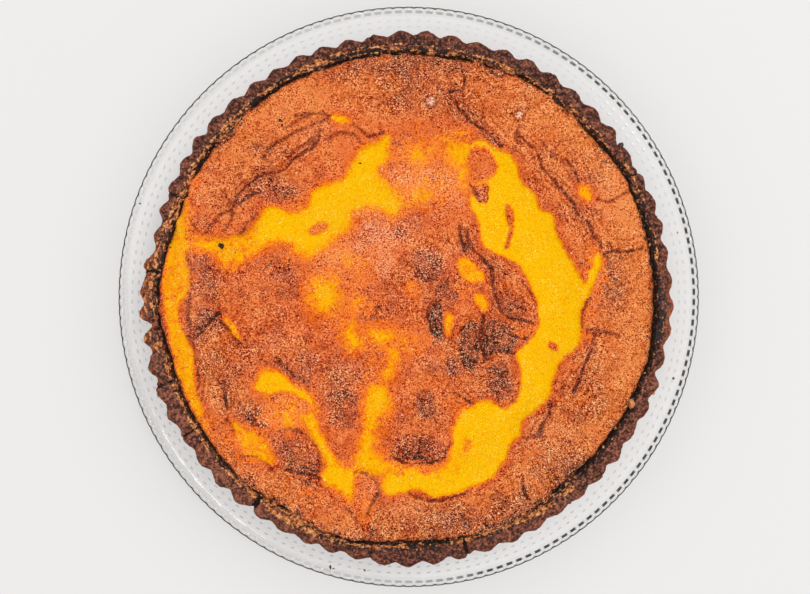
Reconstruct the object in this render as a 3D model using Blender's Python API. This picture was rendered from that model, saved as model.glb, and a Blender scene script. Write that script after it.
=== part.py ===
"""Pumpkin tart: a baked pumpkin filling in a fluted chocolate crust, on a round clear glass plate.

Blender 4.5, metres, +Z up. The origin is the centre of the plate's underside. Every body is a stack of
closed rings of points, each ring joined to the next, with the first and the last ring closed by a fan.
"""

import math

import bmesh
import bpy
import numpy as np

MM = 0.001
GAP = 0.3  # between touching bodies, mm

# Glass plate, mm. Its outline is a plain turned profile with a low foot ring and a rounded edge.
PLATE_RADIUS = 160.0
PLATE_COLUMNS = 120
FOOT_INNER = 88.0
FOOT_OUTER = 97.0
FOOT_HEIGHT = 3.0
PLATE_TOP = 9.5  # height of the flat that carries the tart
RIM_BAND = 3.4  # width of the raised edge that carries the beads
RIM_RISE = 1.3  # how far that edge stands over the flat

# Crust, mm. The tin was 280 across the crests of its flutes.
FLUTES = 62
COLUMNS_PER_FLUTE = 6
CREST_RADIUS = 140.0  # over the crests, at the top
FOOT_TAPER = 7.0  # how much narrower the crust is at its foot
FLUTE_DEPTH = 2.3
CRUST_HEIGHT = 32.0
BASE_THICKNESS = 4.5
WALL_TOP_RADIUS = 132.0  # inner face, where the rim's top rounds into it
WALL_FOOT_RADIUS = 126.0
RIM_ROUNDING = 1.7

# Filling, mm. Heights are counted down from the rim's mean level.
FILLING_COLUMNS = 90
FILLING_RINGS = (14, 28, 41, 53, 64, 74, 84, 94, 104, 114, 122)
SHOULDER_DEPTH = 1.4  # the puffed ring along the crust
CENTRE_DEPTH = 6.8  # the sunk middle
SLOPE_INNER, SLOPE_OUTER = 76.0, 106.0  # the slope between them
ISLAND = (6.0, -14.0, 46.0, 2.4)  # the puffed middle: x, y, reach, height
EDGE_DEPTH = 6.5  # where the filling's edge meets the crust's inner face

# The larger blisters of the skin: x, y, reach along, reach across, turn in degrees, height
BLISTERS = (
    (56.0, 6.0, 15.0, 10.0, -40.0, 2.6),
    (48.0, -20.0, 12.0, 11.0, 0.0, 2.2),
    (51.0, -44.0, 10.0, 12.0, 0.0, 1.8),
    (33.0, -30.0, 9.0, 13.0, 15.0, 1.4),
    (15.0, -13.0, 12.0, 5.5, 100.0, 2.2),
    (10.0, -79.0, 16.0, 11.0, 0.0, 1.6),
    (-37.0, -56.0, 16.0, 11.0, 80.0, 1.2),
    (-100.0, 32.0, 16.0, 8.0, 60.0, 1.6),
    (-102.0, -8.0, 18.0, 9.0, 75.0, 1.5),
    (-62.0, -84.0, 15.0, 10.0, -20.0, 1.3),
    (67.0, -66.0, 11.0, 9.0, 20.0, 1.6),
    (98.0, 8.0, 22.0, 9.0, 95.0, -1.2),
)


def smoothstep(low, high, value):
    """0 below low, 1 above high, and an even S between them."""
    share = min(1.0, max(0.0, (value - low) / (high - low)))
    return share * share * (3.0 - 2.0 * share)


def flute(angle):
    """0 in a valley of the fluted side and 1 on a crest. The tin's flutes drift a little in pitch."""
    drift = math.radians(128.0 - 39.0 * math.cos(angle - math.radians(64.0)))
    return 0.5 + 0.5 * math.cos(FLUTES * angle + drift)


def rim_wander(angle):
    """How far the baked outline strays from a true circle, mm."""
    return (
        0.35 * math.cos(2 * angle - 2.15)
        + 0.30 * math.cos(4 * angle - 0.44)
        + 0.28 * math.cos(5 * angle + 1.19)
        + 0.30 * math.cos(12 * angle + 0.51)
    )


def rim_level(angle):
    """Height of the rim's top over the plate's flat, mm."""
    wander = (
        0.55 * math.sin(2 * angle + 0.8)
        + 0.45 * math.sin(5 * angle + 2.1)
        + 0.35 * math.sin(11 * angle)
    )
    return GAP + CRUST_HEIGHT + wander


def ring(count, radius, height):
    """A ring of points. radius and height are numbers or functions of the angle, mm."""
    points = []
    for column in range(count):
        angle = 2.0 * math.pi * column / count
        r = radius(angle) if callable(radius) else radius
        z = height(angle) if callable(height) else height
        points.append((r * math.cos(angle), r * math.sin(angle), z))
    return points


def fan(bm, centre, loop, upwards):
    """Closes a ring with triangles about one middle point."""
    hub = bm.verts.new(np.array(centre) * MM)
    for here, there in zip(loop, loop[1:] + loop[:1]):
        bm.faces.new((hub, here, there) if upwards else (hub, there, here))


def stack(name, rings, first_centre, last_centre, material):
    """One closed body: the rings run from under the middle, out and up the side, and back to the middle."""
    bm = bmesh.new()
    loops = [[bm.verts.new(np.array(point) * MM) for point in points] for points in rings]
    fan(bm, first_centre, loops[0], upwards=False)
    for lower, upper in zip(loops, loops[1:]):
        for i in range(len(lower)):
            j = (i + 1) % len(lower)
            bm.faces.new((lower[i], lower[j], upper[j], upper[i]))
    fan(bm, last_centre, loops[-1], upwards=True)
    bmesh.ops.triangulate(bm, faces=[face for face in bm.faces if len(face.verts) > 3])
    mesh = bpy.data.meshes.new(name)
    bm.to_mesh(mesh)
    bm.free()
    mesh.shade_smooth()
    mesh.set_sharp_from_angle(angle=math.radians(45.0))
    mesh.materials.append(material)
    body = bpy.data.objects.new(name, mesh)
    bpy.context.scene.collection.objects.link(body)
    return body


def material(name, colour, roughness, transmission=0.0):
    made = bpy.data.materials.new(name)
    made.use_nodes = True
    shader = made.node_tree.nodes["Principled BSDF"]
    shader.inputs["Base Color"].default_value = (*colour, 1.0)
    shader.inputs["Roughness"].default_value = roughness
    shader.inputs["Metallic"].default_value = 0.0
    shader.inputs["Transmission Weight"].default_value = transmission
    return made


def make_plate():
    """The plate: foot ring, gently rising underside, rounded edge with its raised band, and the flat."""
    band = PLATE_RADIUS - RIM_BAND
    top = PLATE_TOP
    profile = (
        (FOOT_INNER - 1.5, FOOT_HEIGHT),
        (FOOT_INNER, 0.0),
        (FOOT_OUTER, 0.0),
        (FOOT_OUTER + 1.5, FOOT_HEIGHT),
        (PLATE_RADIUS - 12.0, FOOT_HEIGHT + 0.9),
        (PLATE_RADIUS - 1.6, top - 4.1),
        (PLATE_RADIUS, top - 2.2),
        (PLATE_RADIUS - 0.1, top + 0.2),
        (PLATE_RADIUS - 1.5, top + RIM_RISE),
        (band, top + 0.1),
        (band - 4.0, top),
    )
    rings = [ring(PLATE_COLUMNS, radius, height) for radius, height in profile]
    glass = material("clear_glass", (0.93, 0.95, 0.95), 0.02, transmission=1.0)
    return stack("plate", rings, (0, 0, FOOT_HEIGHT), (0, 0, top), glass)


def make_crust():
    """The fluted chocolate crust: a cup with a flat base, tapered sides and an uneven rounded rim."""
    count = FLUTES * COLUMNS_PER_FLUTE
    floor = PLATE_TOP + GAP

    def crest(angle):
        return CREST_RADIUS - FLUTE_DEPTH * (1.0 - flute(angle)) + rim_wander(angle)

    def top(drop):
        return lambda angle: PLATE_TOP + rim_level(angle) - drop

    rings = [
        ring(count, lambda a: crest(a) - FOOT_TAPER, floor),
        ring(count, crest, top(RIM_ROUNDING)),
        ring(count, lambda a: crest(a) - RIM_ROUNDING, top(0.0)),
        ring(count, lambda a: WALL_TOP_RADIUS + 1.4 + 0.3 * flute(a), top(0.3)),
        ring(count, WALL_TOP_RADIUS, floor + CRUST_HEIGHT - 3.4),
        ring(count, WALL_FOOT_RADIUS, floor + BASE_THICKNESS),
    ]
    pastry = material("chocolate_pastry", (0.105, 0.045, 0.028), 0.85)
    return stack("crust", rings, (0, 0, floor), (0, 0, floor + BASE_THICKNESS), pastry)


def blister_height(x, y):
    """What the island and the blisters add to the filling's top at one place, mm."""
    ix, iy, reach, height = ISLAND
    lift = height * math.exp(-((x - ix) ** 2 + (y - iy) ** 2) / reach**2)
    for bx, by, along, across, turn, rise in BLISTERS:
        c, s = math.cos(math.radians(turn)), math.sin(math.radians(turn))
        u = ((x - bx) * c + (y - by) * s) / along
        v = ((y - by) * c - (x - bx) * s) / across
        lift += rise * math.exp(-(u * u + v * v))
    return lift


def filling_top(x, y):
    """Height of the filling's top, mm: a puffed shoulder along the crust and a sunk, blistered middle."""
    radius = math.hypot(x, y)
    depth = CENTRE_DEPTH + (SHOULDER_DEPTH - CENTRE_DEPTH) * smoothstep(
        SLOPE_INNER, SLOPE_OUTER, radius
    )
    return PLATE_TOP + GAP + CRUST_HEIGHT - depth + blister_height(x, y)


def make_filling():
    """The filling, cast into the crust: its side follows the crust's inner face, GAP away from it."""
    floor = PLATE_TOP + GAP
    wall_top, wall_foot = CRUST_HEIGHT - 3.4, BASE_THICKNESS
    taper = (WALL_TOP_RADIUS - WALL_FOOT_RADIUS) / (wall_top - wall_foot)

    def side(height):
        """Radius of the filling's side at a height over the crust's underside."""
        return WALL_FOOT_RADIUS + taper * (height - wall_foot) - 1.2 * GAP

    edge = CRUST_HEIGHT - EDGE_DEPTH
    foot = wall_foot + GAP
    rings = [
        ring(FILLING_COLUMNS, side(foot), floor + foot),
        ring(FILLING_COLUMNS, side(edge), floor + edge),
        ring(FILLING_COLUMNS, side(edge) - 0.9, floor + edge + 2.9),
    ]
    for radius in sorted(FILLING_RINGS, reverse=True):
        points = ring(FILLING_COLUMNS, radius, 0.0)
        rings.append([(x, y, filling_top(x, y)) for x, y, _ in points])
    custard = material("pumpkin_custard", (0.55, 0.22, 0.07), 0.6)
    centre = (0, 0, filling_top(0, 0))
    return stack("filling", rings, (0, 0, floor + foot), centre, custard)


def main():
    for old in list(bpy.data.objects):
        bpy.data.objects.remove(old)
    make_plate()
    make_crust()
    make_filling()


main()
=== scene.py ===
"""Looks of the pumpkin pie on its glass plate: torn, browned custard, crumbly chocolate crust, clear glass.

Lengths in this script are millimetres and the tables' angles degrees. Places are measured from the pie's
axis and heights from the rim's mean level, unless a name says otherwise; MM turns them into metres.
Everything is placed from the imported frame.
"""

import itertools
import math

import bmesh
import bpy
import numpy as np
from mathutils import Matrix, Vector


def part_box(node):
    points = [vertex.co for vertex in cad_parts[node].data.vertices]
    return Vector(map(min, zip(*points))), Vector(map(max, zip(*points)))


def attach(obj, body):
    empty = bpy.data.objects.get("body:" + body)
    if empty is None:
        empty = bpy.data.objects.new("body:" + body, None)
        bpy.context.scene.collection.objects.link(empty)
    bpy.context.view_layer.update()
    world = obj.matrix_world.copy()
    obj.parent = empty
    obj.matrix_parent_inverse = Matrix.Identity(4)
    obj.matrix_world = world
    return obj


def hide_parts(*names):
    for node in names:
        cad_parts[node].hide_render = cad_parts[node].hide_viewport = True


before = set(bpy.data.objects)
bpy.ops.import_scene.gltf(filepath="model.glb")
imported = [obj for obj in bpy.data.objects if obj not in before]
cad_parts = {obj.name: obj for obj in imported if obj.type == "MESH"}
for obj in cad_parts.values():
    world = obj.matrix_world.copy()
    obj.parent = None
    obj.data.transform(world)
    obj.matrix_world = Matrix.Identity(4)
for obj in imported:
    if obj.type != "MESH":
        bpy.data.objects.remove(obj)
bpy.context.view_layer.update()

MM = 0.001
PLATE_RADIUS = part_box("plate")[1][0] / MM
CRUST_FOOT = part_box("crust")[0][2] / MM  # height of the crust's underside over the table
CRUST_HEIGHT = 32.0  # as the solid's: the mean height of the rim over its foot
RIM = CRUST_FOOT + CRUST_HEIGHT  # height of the rim's mean level over the table


# ---- tools -------------------------------------------------------------------------------------

NOISE_SHIFT = 71.3  # cells, so that the pie's axis does not lie on a cell's corner
NOISE_GAIN, FRACTAL_GAIN = 1.7, 1.3  # bring the bumps to about -1 to 1


def smooth(low, high, value):
    """0 below low, 1 above high, an even S between."""
    t = np.clip((value - low) / (high - low), 0.0, 1.0)
    return t * t * (3.0 - 2.0 * t)


def bell(offset):
    """1 at 0, and falling off evenly to both sides, to 0.37 at an offset of 1."""
    return np.exp(-(offset**2))


def noise(places, size, seed):
    """Gradient noise at places (n, 2 or 3): smooth, about -1 to 1, with bumps about size mm across."""
    rng = np.random.default_rng(seed)
    order = rng.permutation(256)
    slopes = rng.normal(size=(256, places.shape[1]))
    slopes /= np.linalg.norm(slopes, axis=1)[:, None]
    spot = places / size + NOISE_SHIFT
    cell = np.floor(spot).astype(int)
    within = spot - cell
    ease = within**3 * (within * (within * 6.0 - 15.0) + 10.0)
    total = np.zeros(len(places))
    for corner in itertools.product((0, 1), repeat=places.shape[1]):
        pick = np.zeros(len(places), int)
        for axis, step in enumerate(corner):
            pick = order[(pick + cell[:, axis] + step) & 255]
        weight = np.prod(np.where(corner, ease, 1.0 - ease), axis=1)
        total += weight * np.einsum("ij,ij->i", slopes[pick], within - corner)
    return NOISE_GAIN * total


def fractal(places, size, octaves, seed):
    """Noise with ever finer bumps on it, about -1 to 1."""
    layers = [0.5**k * noise(places, size / 2**k, seed + k) for k in range(octaves)]
    return sum(layers) / sum(0.5**k for k in range(octaves)) * FRACTAL_GAIN


def stray(places, reach, size, octaves, seed):
    """Two columns of fractal noise of about -reach to reach, by which to shift places on the top."""
    return np.c_[fractal(places, size, octaves, seed), fractal(places, size, octaves, seed + 1)] * reach


def level(xy):
    """Places on the top as points in space, so that all the noise is of one kind."""
    return np.c_[xy, np.zeros(len(xy))]


def on_circle(angle, radius):
    """Points at these angles on a level circle about the pie's axis."""
    return np.c_[np.cos(angle), np.sin(angle), np.zeros(len(angle))] * radius


def turn_apart(angle, degrees):
    """How far an angle lies from one given in degrees, in degrees, the short way round."""
    return (np.degrees(angle) - degrees + 180.0) % 360.0 - 180.0


def round_the_pie(angle, table):
    """The value at each angle of a table of angles in degrees and values."""
    return np.interp(np.degrees(angle), *zip(*table), period=360.0)


def rounded(points, closed=False):
    """A given path with its corners cut twice, so that it runs in bends."""
    path = np.array(points, float)
    for _ in range(2):
        after = np.roll(path, -1, axis=0) if closed else path[1:]
        here = path if closed else path[:-1]
        cut = np.stack([0.75 * here + 0.25 * after, 0.25 * here + 0.75 * after], axis=1)
        cut = cut.reshape(-1, path.shape[1])
        path = cut if closed else np.vstack([path[:1], cut, path[-1:]])
    return path


def from_path(xy, path, closed, reach):
    """Distance to a path, and whether inside it if closed. Farther than reach, the distance is reach."""
    distance = np.full(len(xy), reach)
    inside = np.zeros(len(xy), bool)
    low, high = path.min(0) - reach, path.max(0) + reach
    near = np.flatnonzero(np.all((xy > low) & (xy < high), axis=1))
    x, y = xy[near].T
    best = np.full(len(near), reach**2)
    odd = np.zeros(len(near), bool)
    ends = np.roll(path, -1, axis=0) if closed else path[1:]
    for (ax, ay), (bx, by) in zip(path, ends):
        dx, dy = bx - ax, by - ay
        t = np.clip(((x - ax) * dx + (y - ay) * dy) / (dx * dx + dy * dy + 1e-9), 0.0, 1.0)
        best = np.minimum(best, (x - ax - t * dx) ** 2 + (y - ay - t * dy) ** 2)
        if closed and ay != by:
            odd ^= ((ay > y) != (by > y)) & (x < dx * (y - ay) / dy + ax)
    distance[near] = np.sqrt(best)
    inside[near] = odd
    return distance, inside


def depth_inside(xy, outline, reach):
    """Distance to a closed given outline, mm: positive inside, negative outside, never past reach."""
    distance, inside = from_path(xy, rounded(outline, closed=True), True, reach)
    return np.where(inside, distance, -distance)


def spot(xy, x, y, along, across, turn=0.0):
    """1 in the middle of an oval patch, 0.5 about its edge, fading beyond it."""
    c, s = math.cos(math.radians(turn)), math.sin(math.radians(turn))
    u = ((xy[:, 0] - x) * c + (xy[:, 1] - y) * s) / along
    v = ((xy[:, 1] - y) * c - (xy[:, 0] - x) * s) / across
    return np.exp(-0.7 * (u * u + v * v))


def spots(xy, table):
    """The strength and the spot of each row of a table of spots."""
    for x, y, along, across, strength, *turn in table:
        yield strength, spot(xy, x, y, along, across, *turn)


def strongest(xy, table):
    """What the strongest of a table's spots makes of each place."""
    best = np.zeros(len(xy))
    for strength, patch in spots(xy, table):
        best = np.maximum(best, strength * patch)
    return best


def layered(under, amount):
    """Puts an amount of 0 to 1 over what is there already, which leaves the less room for it."""
    return under + (1.0 - under) * amount


# ---- where the skin tore and the custard shows ---------------------------------------------------

TEAR_DEPTHS = (-6.0, -2.7, -1.1, 0.0, 1.0, 2.6)  # mm inside a tear's outline over its softness in mm
TEAR_GOLD = (0.0, 0.06, 0.25, 0.52, 0.82, 0.95)  # how yellow the top is there

# Each area: how yellow it is, how softly it ends in mm, and its outline in mm from the middle
TEARS = {
    "river": (1, 0.7, ((26, 83), (33, 82), (40, 84), (47, 79), (56, 76), (59, 68), (61, 61), (66, 57),
        (70, 51), (72, 46), (77, 46), (79, 36), (83, 28), (88, 20), (91, 13), (93, 9), (95, 7), (97.5, 15),
        (99.5, 23), (101, 25), (103, 22), (102, 14), (99.5, 7), (96, 1), (91, -9), (93, -18), (91, -27),
        (84, -31), (79, -37), (77, -50), (73, -55), (65, -61), (61, -67), (60, -73), (54, -79), (53, -85),
        (47, -92), (43, -97), (33, -100), (24, -104), (12, -105), (6, -100), (-1, -103), (-11, -105),
        (-14, -99), (-12, -93), (0, -91), (13, -90), (20, -87), (24, -79), (24, -70), (27, -64), (27, -60),
        (32, -58), (40, -54), (46, -55), (51, -59), (56, -58), (59, -53), (60, -48), (60, -38), (58, -30),
        (61, -25), (69, -19), (70, -11), (70, -2), (66, 6), (63, 13), (58, 19), (50, 22), (43, 26),
        (39, 31), (38, 40), (34, 47), (34, 55), (33, 61), (40, 62), (47, 68), (46, 76), (39, 80),
        (32, 79))),
    "head": (0.86, 2.2, ((19, 82), (32, 83), (36, 76), (31, 70), (33, 60), (29, 58), (27, 66), (23, 73))),
    "band west": (0.7, 1.3, ((-77, 46), (-82, 36), (-88, 32), (-100, 31), (-112, 32), (-116, 28),
        (-110, 26), (-101, 24), (-97, 17), (-91, 17), (-85, 22), (-76, 27), (-70, 34))),
    "band": (1, 1.2, ((-10, 88), (-15, 83), (-21, 82), (-28, 76), (-31, 68), (-35, 63), (-47, 59),
        (-52, 57), (-52, 50), (-57, 46), (-63, 45), (-72, 50), (-77, 46), (-81, 38), (-81, 29), (-74, 28),
        (-68, 31), (-62, 29), (-58, 23), (-52, 21), (-45, 25), (-38, 31), (-30, 37), (-28, 43), (-20, 45),
        (-10, 42), (-4, 45), (-4, 52), (-6, 59), (-13, 64), (-15, 68), (-11, 72), (-9, 80))),
    "left edge": (0.68, 1.1, ((-121, 47), (-117, 43), (-117, 34), (-113, 29), (-118, 21), (-114, 9),
        (-117, 2), (-121, -4), (-121, -12), (-118, -18), (-114, -25), (-113, -36), (-113, -45), (-109, -56),
        (-107, -64), (-112, -60), (-118, -48), (-123, -34), (-126, -16), (-129, 0), (-128, 14), (-126, 26),
        (-124, 38))),
    "lower left": (0.88, 1.1, ((-82, -47), (-79, -41), (-74, -38), (-69, -38), (-65, -42), (-61, -47),
        (-52, -49), (-49, -56), (-49, -66), (-44, -75), (-40, -82), (-36, -89), (-26, -92), (-27, -102),
        (-31, -108), (-36, -101), (-44, -99), (-45, -92), (-42, -88), (-47, -79), (-53, -71), (-56, -63),
        (-54, -56), (-60, -51), (-69, -50), (-72, -52), (-78, -50))),
    "branch": (0.93, 1.5, ((-22, -47), (-12, -46), (-9, -53), (-10, -60), (-15, -63), (-16, -70),
        (-18, -78), (-15, -85), (-8, -89), (0, -91), (-8, -95), (-28, -93), (-28, -84), (-24, -74),
        (-21, -62))),
    "left patch": (0.62, 1.2, ((-93, -65), (-88, -67), (-83, -71), (-77, -74), (-72, -80), (-69, -87),
        (-73, -88), (-79, -84), (-85, -82), (-88, -77), (-89, -71))),
    "slit": (0.6, 0.9, ((-98, -10), (-94, -11), (-89, -18), (-88, -22), (-92, -19), (-96, -14))),
    "west blob": (0.84, 2.2, ((-51, 10), (-40, 12), (-36, 4), (-38, -7), (-49, -7), (-52, 0))),
    "south blob": (0.8, 1.8, ((-20, -16), (-8, -17), (-6, -23), (-18, -24))),
    "south west blob": (0.84, 1.7, ((-34, -11), (-29, -12), (-27, -20), (-22, -24), (-28, -28),
        (-34, -22))),
    "stem": (0.62, 2, ((-10, -26), (-4, -28), (-6, -36), (-10, -44), (-13, -40), (-9, -34))),
    "south patch": (0.76, 1.6, ((-68, -60), (-62, -60), (-60, -67), (-65, -68))),
    "middle": (0.68, 0.7, ((27, 17), (29, 21), (33, 20), (38, 15), (42, 11), (39, 8), (32, 9), (28, 12))),
    "middle south": (0.74, 0.8, ((36, 4), (41, 2), (44, -4), (41, -8), (38, -5))),
    "middle west": (0.66, 0.8, ((20, -8), (25, -8), (24, -19), (21, -20))),
    "north patch": (0.76, 2.4, ((1, 80), (9, 80), (9, 73), (2, 72))),
    "north west patch": (0.7, 2.6, ((2, 58), (13, 57), (13, 52), (2, 51))),
    "north edge": (0.76, 2.4, ((-9, 58), (-3, 56), (-1, 48), (-8, 46))),
    "high streak": (0.76, 1, ((-41, 97), (-34, 97), (-29, 94), (-33, 93), (-39, 94))),
    "east dot": (0.66, 1.1, ((90, 59), (92, 61), (95, 59), (98, 53), (95, 50), (92, 53))),
}

# Skin that stands as islands in those areas: how much custard it hides, softness and outline
ISLANDS = {
    "bridge": (0.5, 2.2, ((34, 80), (42, 79), (48, 74), (48, 68), (44, 63), (40, 64), (35, 65), (33, 72))),
    "flap": (0.8, 1, ((33, 62), (38, 60), (43, 62), (44, 56), (43, 51), (40, 50), (36, 54))),
    "ribbon": (0.66, 0.8, ((52, 51), (56, 49), (57.5, 43), (57, 37), (56, 31), (56, 27), (51, 25), (53, 30),
        (54, 37), (53, 43))),
    "red islet": (0.7, 1.2, ((74, -23), (79, -23), (82, -28), (78, -29), (76, -26))),
    "band islet": (0.62, 1.4, ((-54, 37), (-49, 40), (-43, 41), (-41, 38), (-45, 34), (-52, 33))),
    "band veil": (0.3, 2.4, ((-32, 46), (-25, 50), (-14, 50), (-8, 44), (-17, 40), (-28, 39))),
    "river spot": (0.45, 2, ((27, -75), (33, -74), (37, -79), (31, -83))),
    "strand gap": (0.5, 1.6, ((-63, -51), (-52, -55), (-49, -60), (-54, -63), (-60, -58))),
    "south veil": (0.3, 2.5, ((6, -88), (20, -85), (28, -79), (36, -82), (30, -92), (16, -97), (6, -96))),
    "south islet": (0.3, 1.6, ((-28, -94), (-18, -93), (-13, -98), (-16, -106), (-27, -104))),
}

# In the tables of spots a row has x, y, reach along, reach across, strength and, if it is turned, its turn.

# Where the tears end in a wide, mottled fade and not in an edge
SOFT_PLACES = (
    (-66, 20, 34, 8, 1, 8), (-20, 46, 18, 10, 1, 40), (10, 66, 26, 18, 1), (-30, -6, 24, 24, 1),
    (-14, -70, 12, 28, 1), (-56, -64, 10, 10, 1), (-78, -72, 7, 8, 1), (0, -90, 30, 6, 1),
    (-112, 44, 14, 18, 1), (-48, 35, 9, 8, 1), (-20, -98, 14, 12, 1), (26, -60, 12, 8, 1),
)
SOFT_FADE = 1.8  # how many times wider the fade is there, over one

# The halo of thin, orange skin: the strength is how yellow it is
HALOS = (
    (96, -12, 4, 10, 0.3), (-15, 42, 10, 9, 0.14), (-68, -32, 6, 4, 0.22), (10, 78, 26, 9, 0.42),
    (5, 91, 16, 4, 0.22), (-52, 92, 12, 5, 0.16, 20), (12, 62, 22, 13, 0.42), (-35, 94, 14, 5, 0.2),
    (-60, 20, 40, 9, 0.18, 10), (-32, 18, 16, 12, 0.4), (-5, -24, 14, 8, 0.42), (-28, -5, 14, 9, 0.38),
    (-62, -58, 14, 12, 0.42), (-85, -78, 14, 11, 0.34, -40), (-45, -106, 20, 4, 0.25, -10),
    (-22, -110, 6, 12, 0.3), (94, 56, 8, 8, 0.2), (98, 15, 6, 14, 0.4), (4, 4, 5, 5, 0.4),
    (-118, 50, 7, 26, 0.4, -25), (-112, -66, 7, 20, 0.4, 35), (66, -20, 7, 7, 0.35),
    (-66, 42, 30, 8, 0.3, 25), (31, 8, 7, 10, 0.25), (-20, -40, 10, 20, 0.25), (40, -58, 22, 5, 0.3),
    (2, -92, 30, 4, 0.35), (22, 84, 20, 6, 0.4),
)

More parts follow.
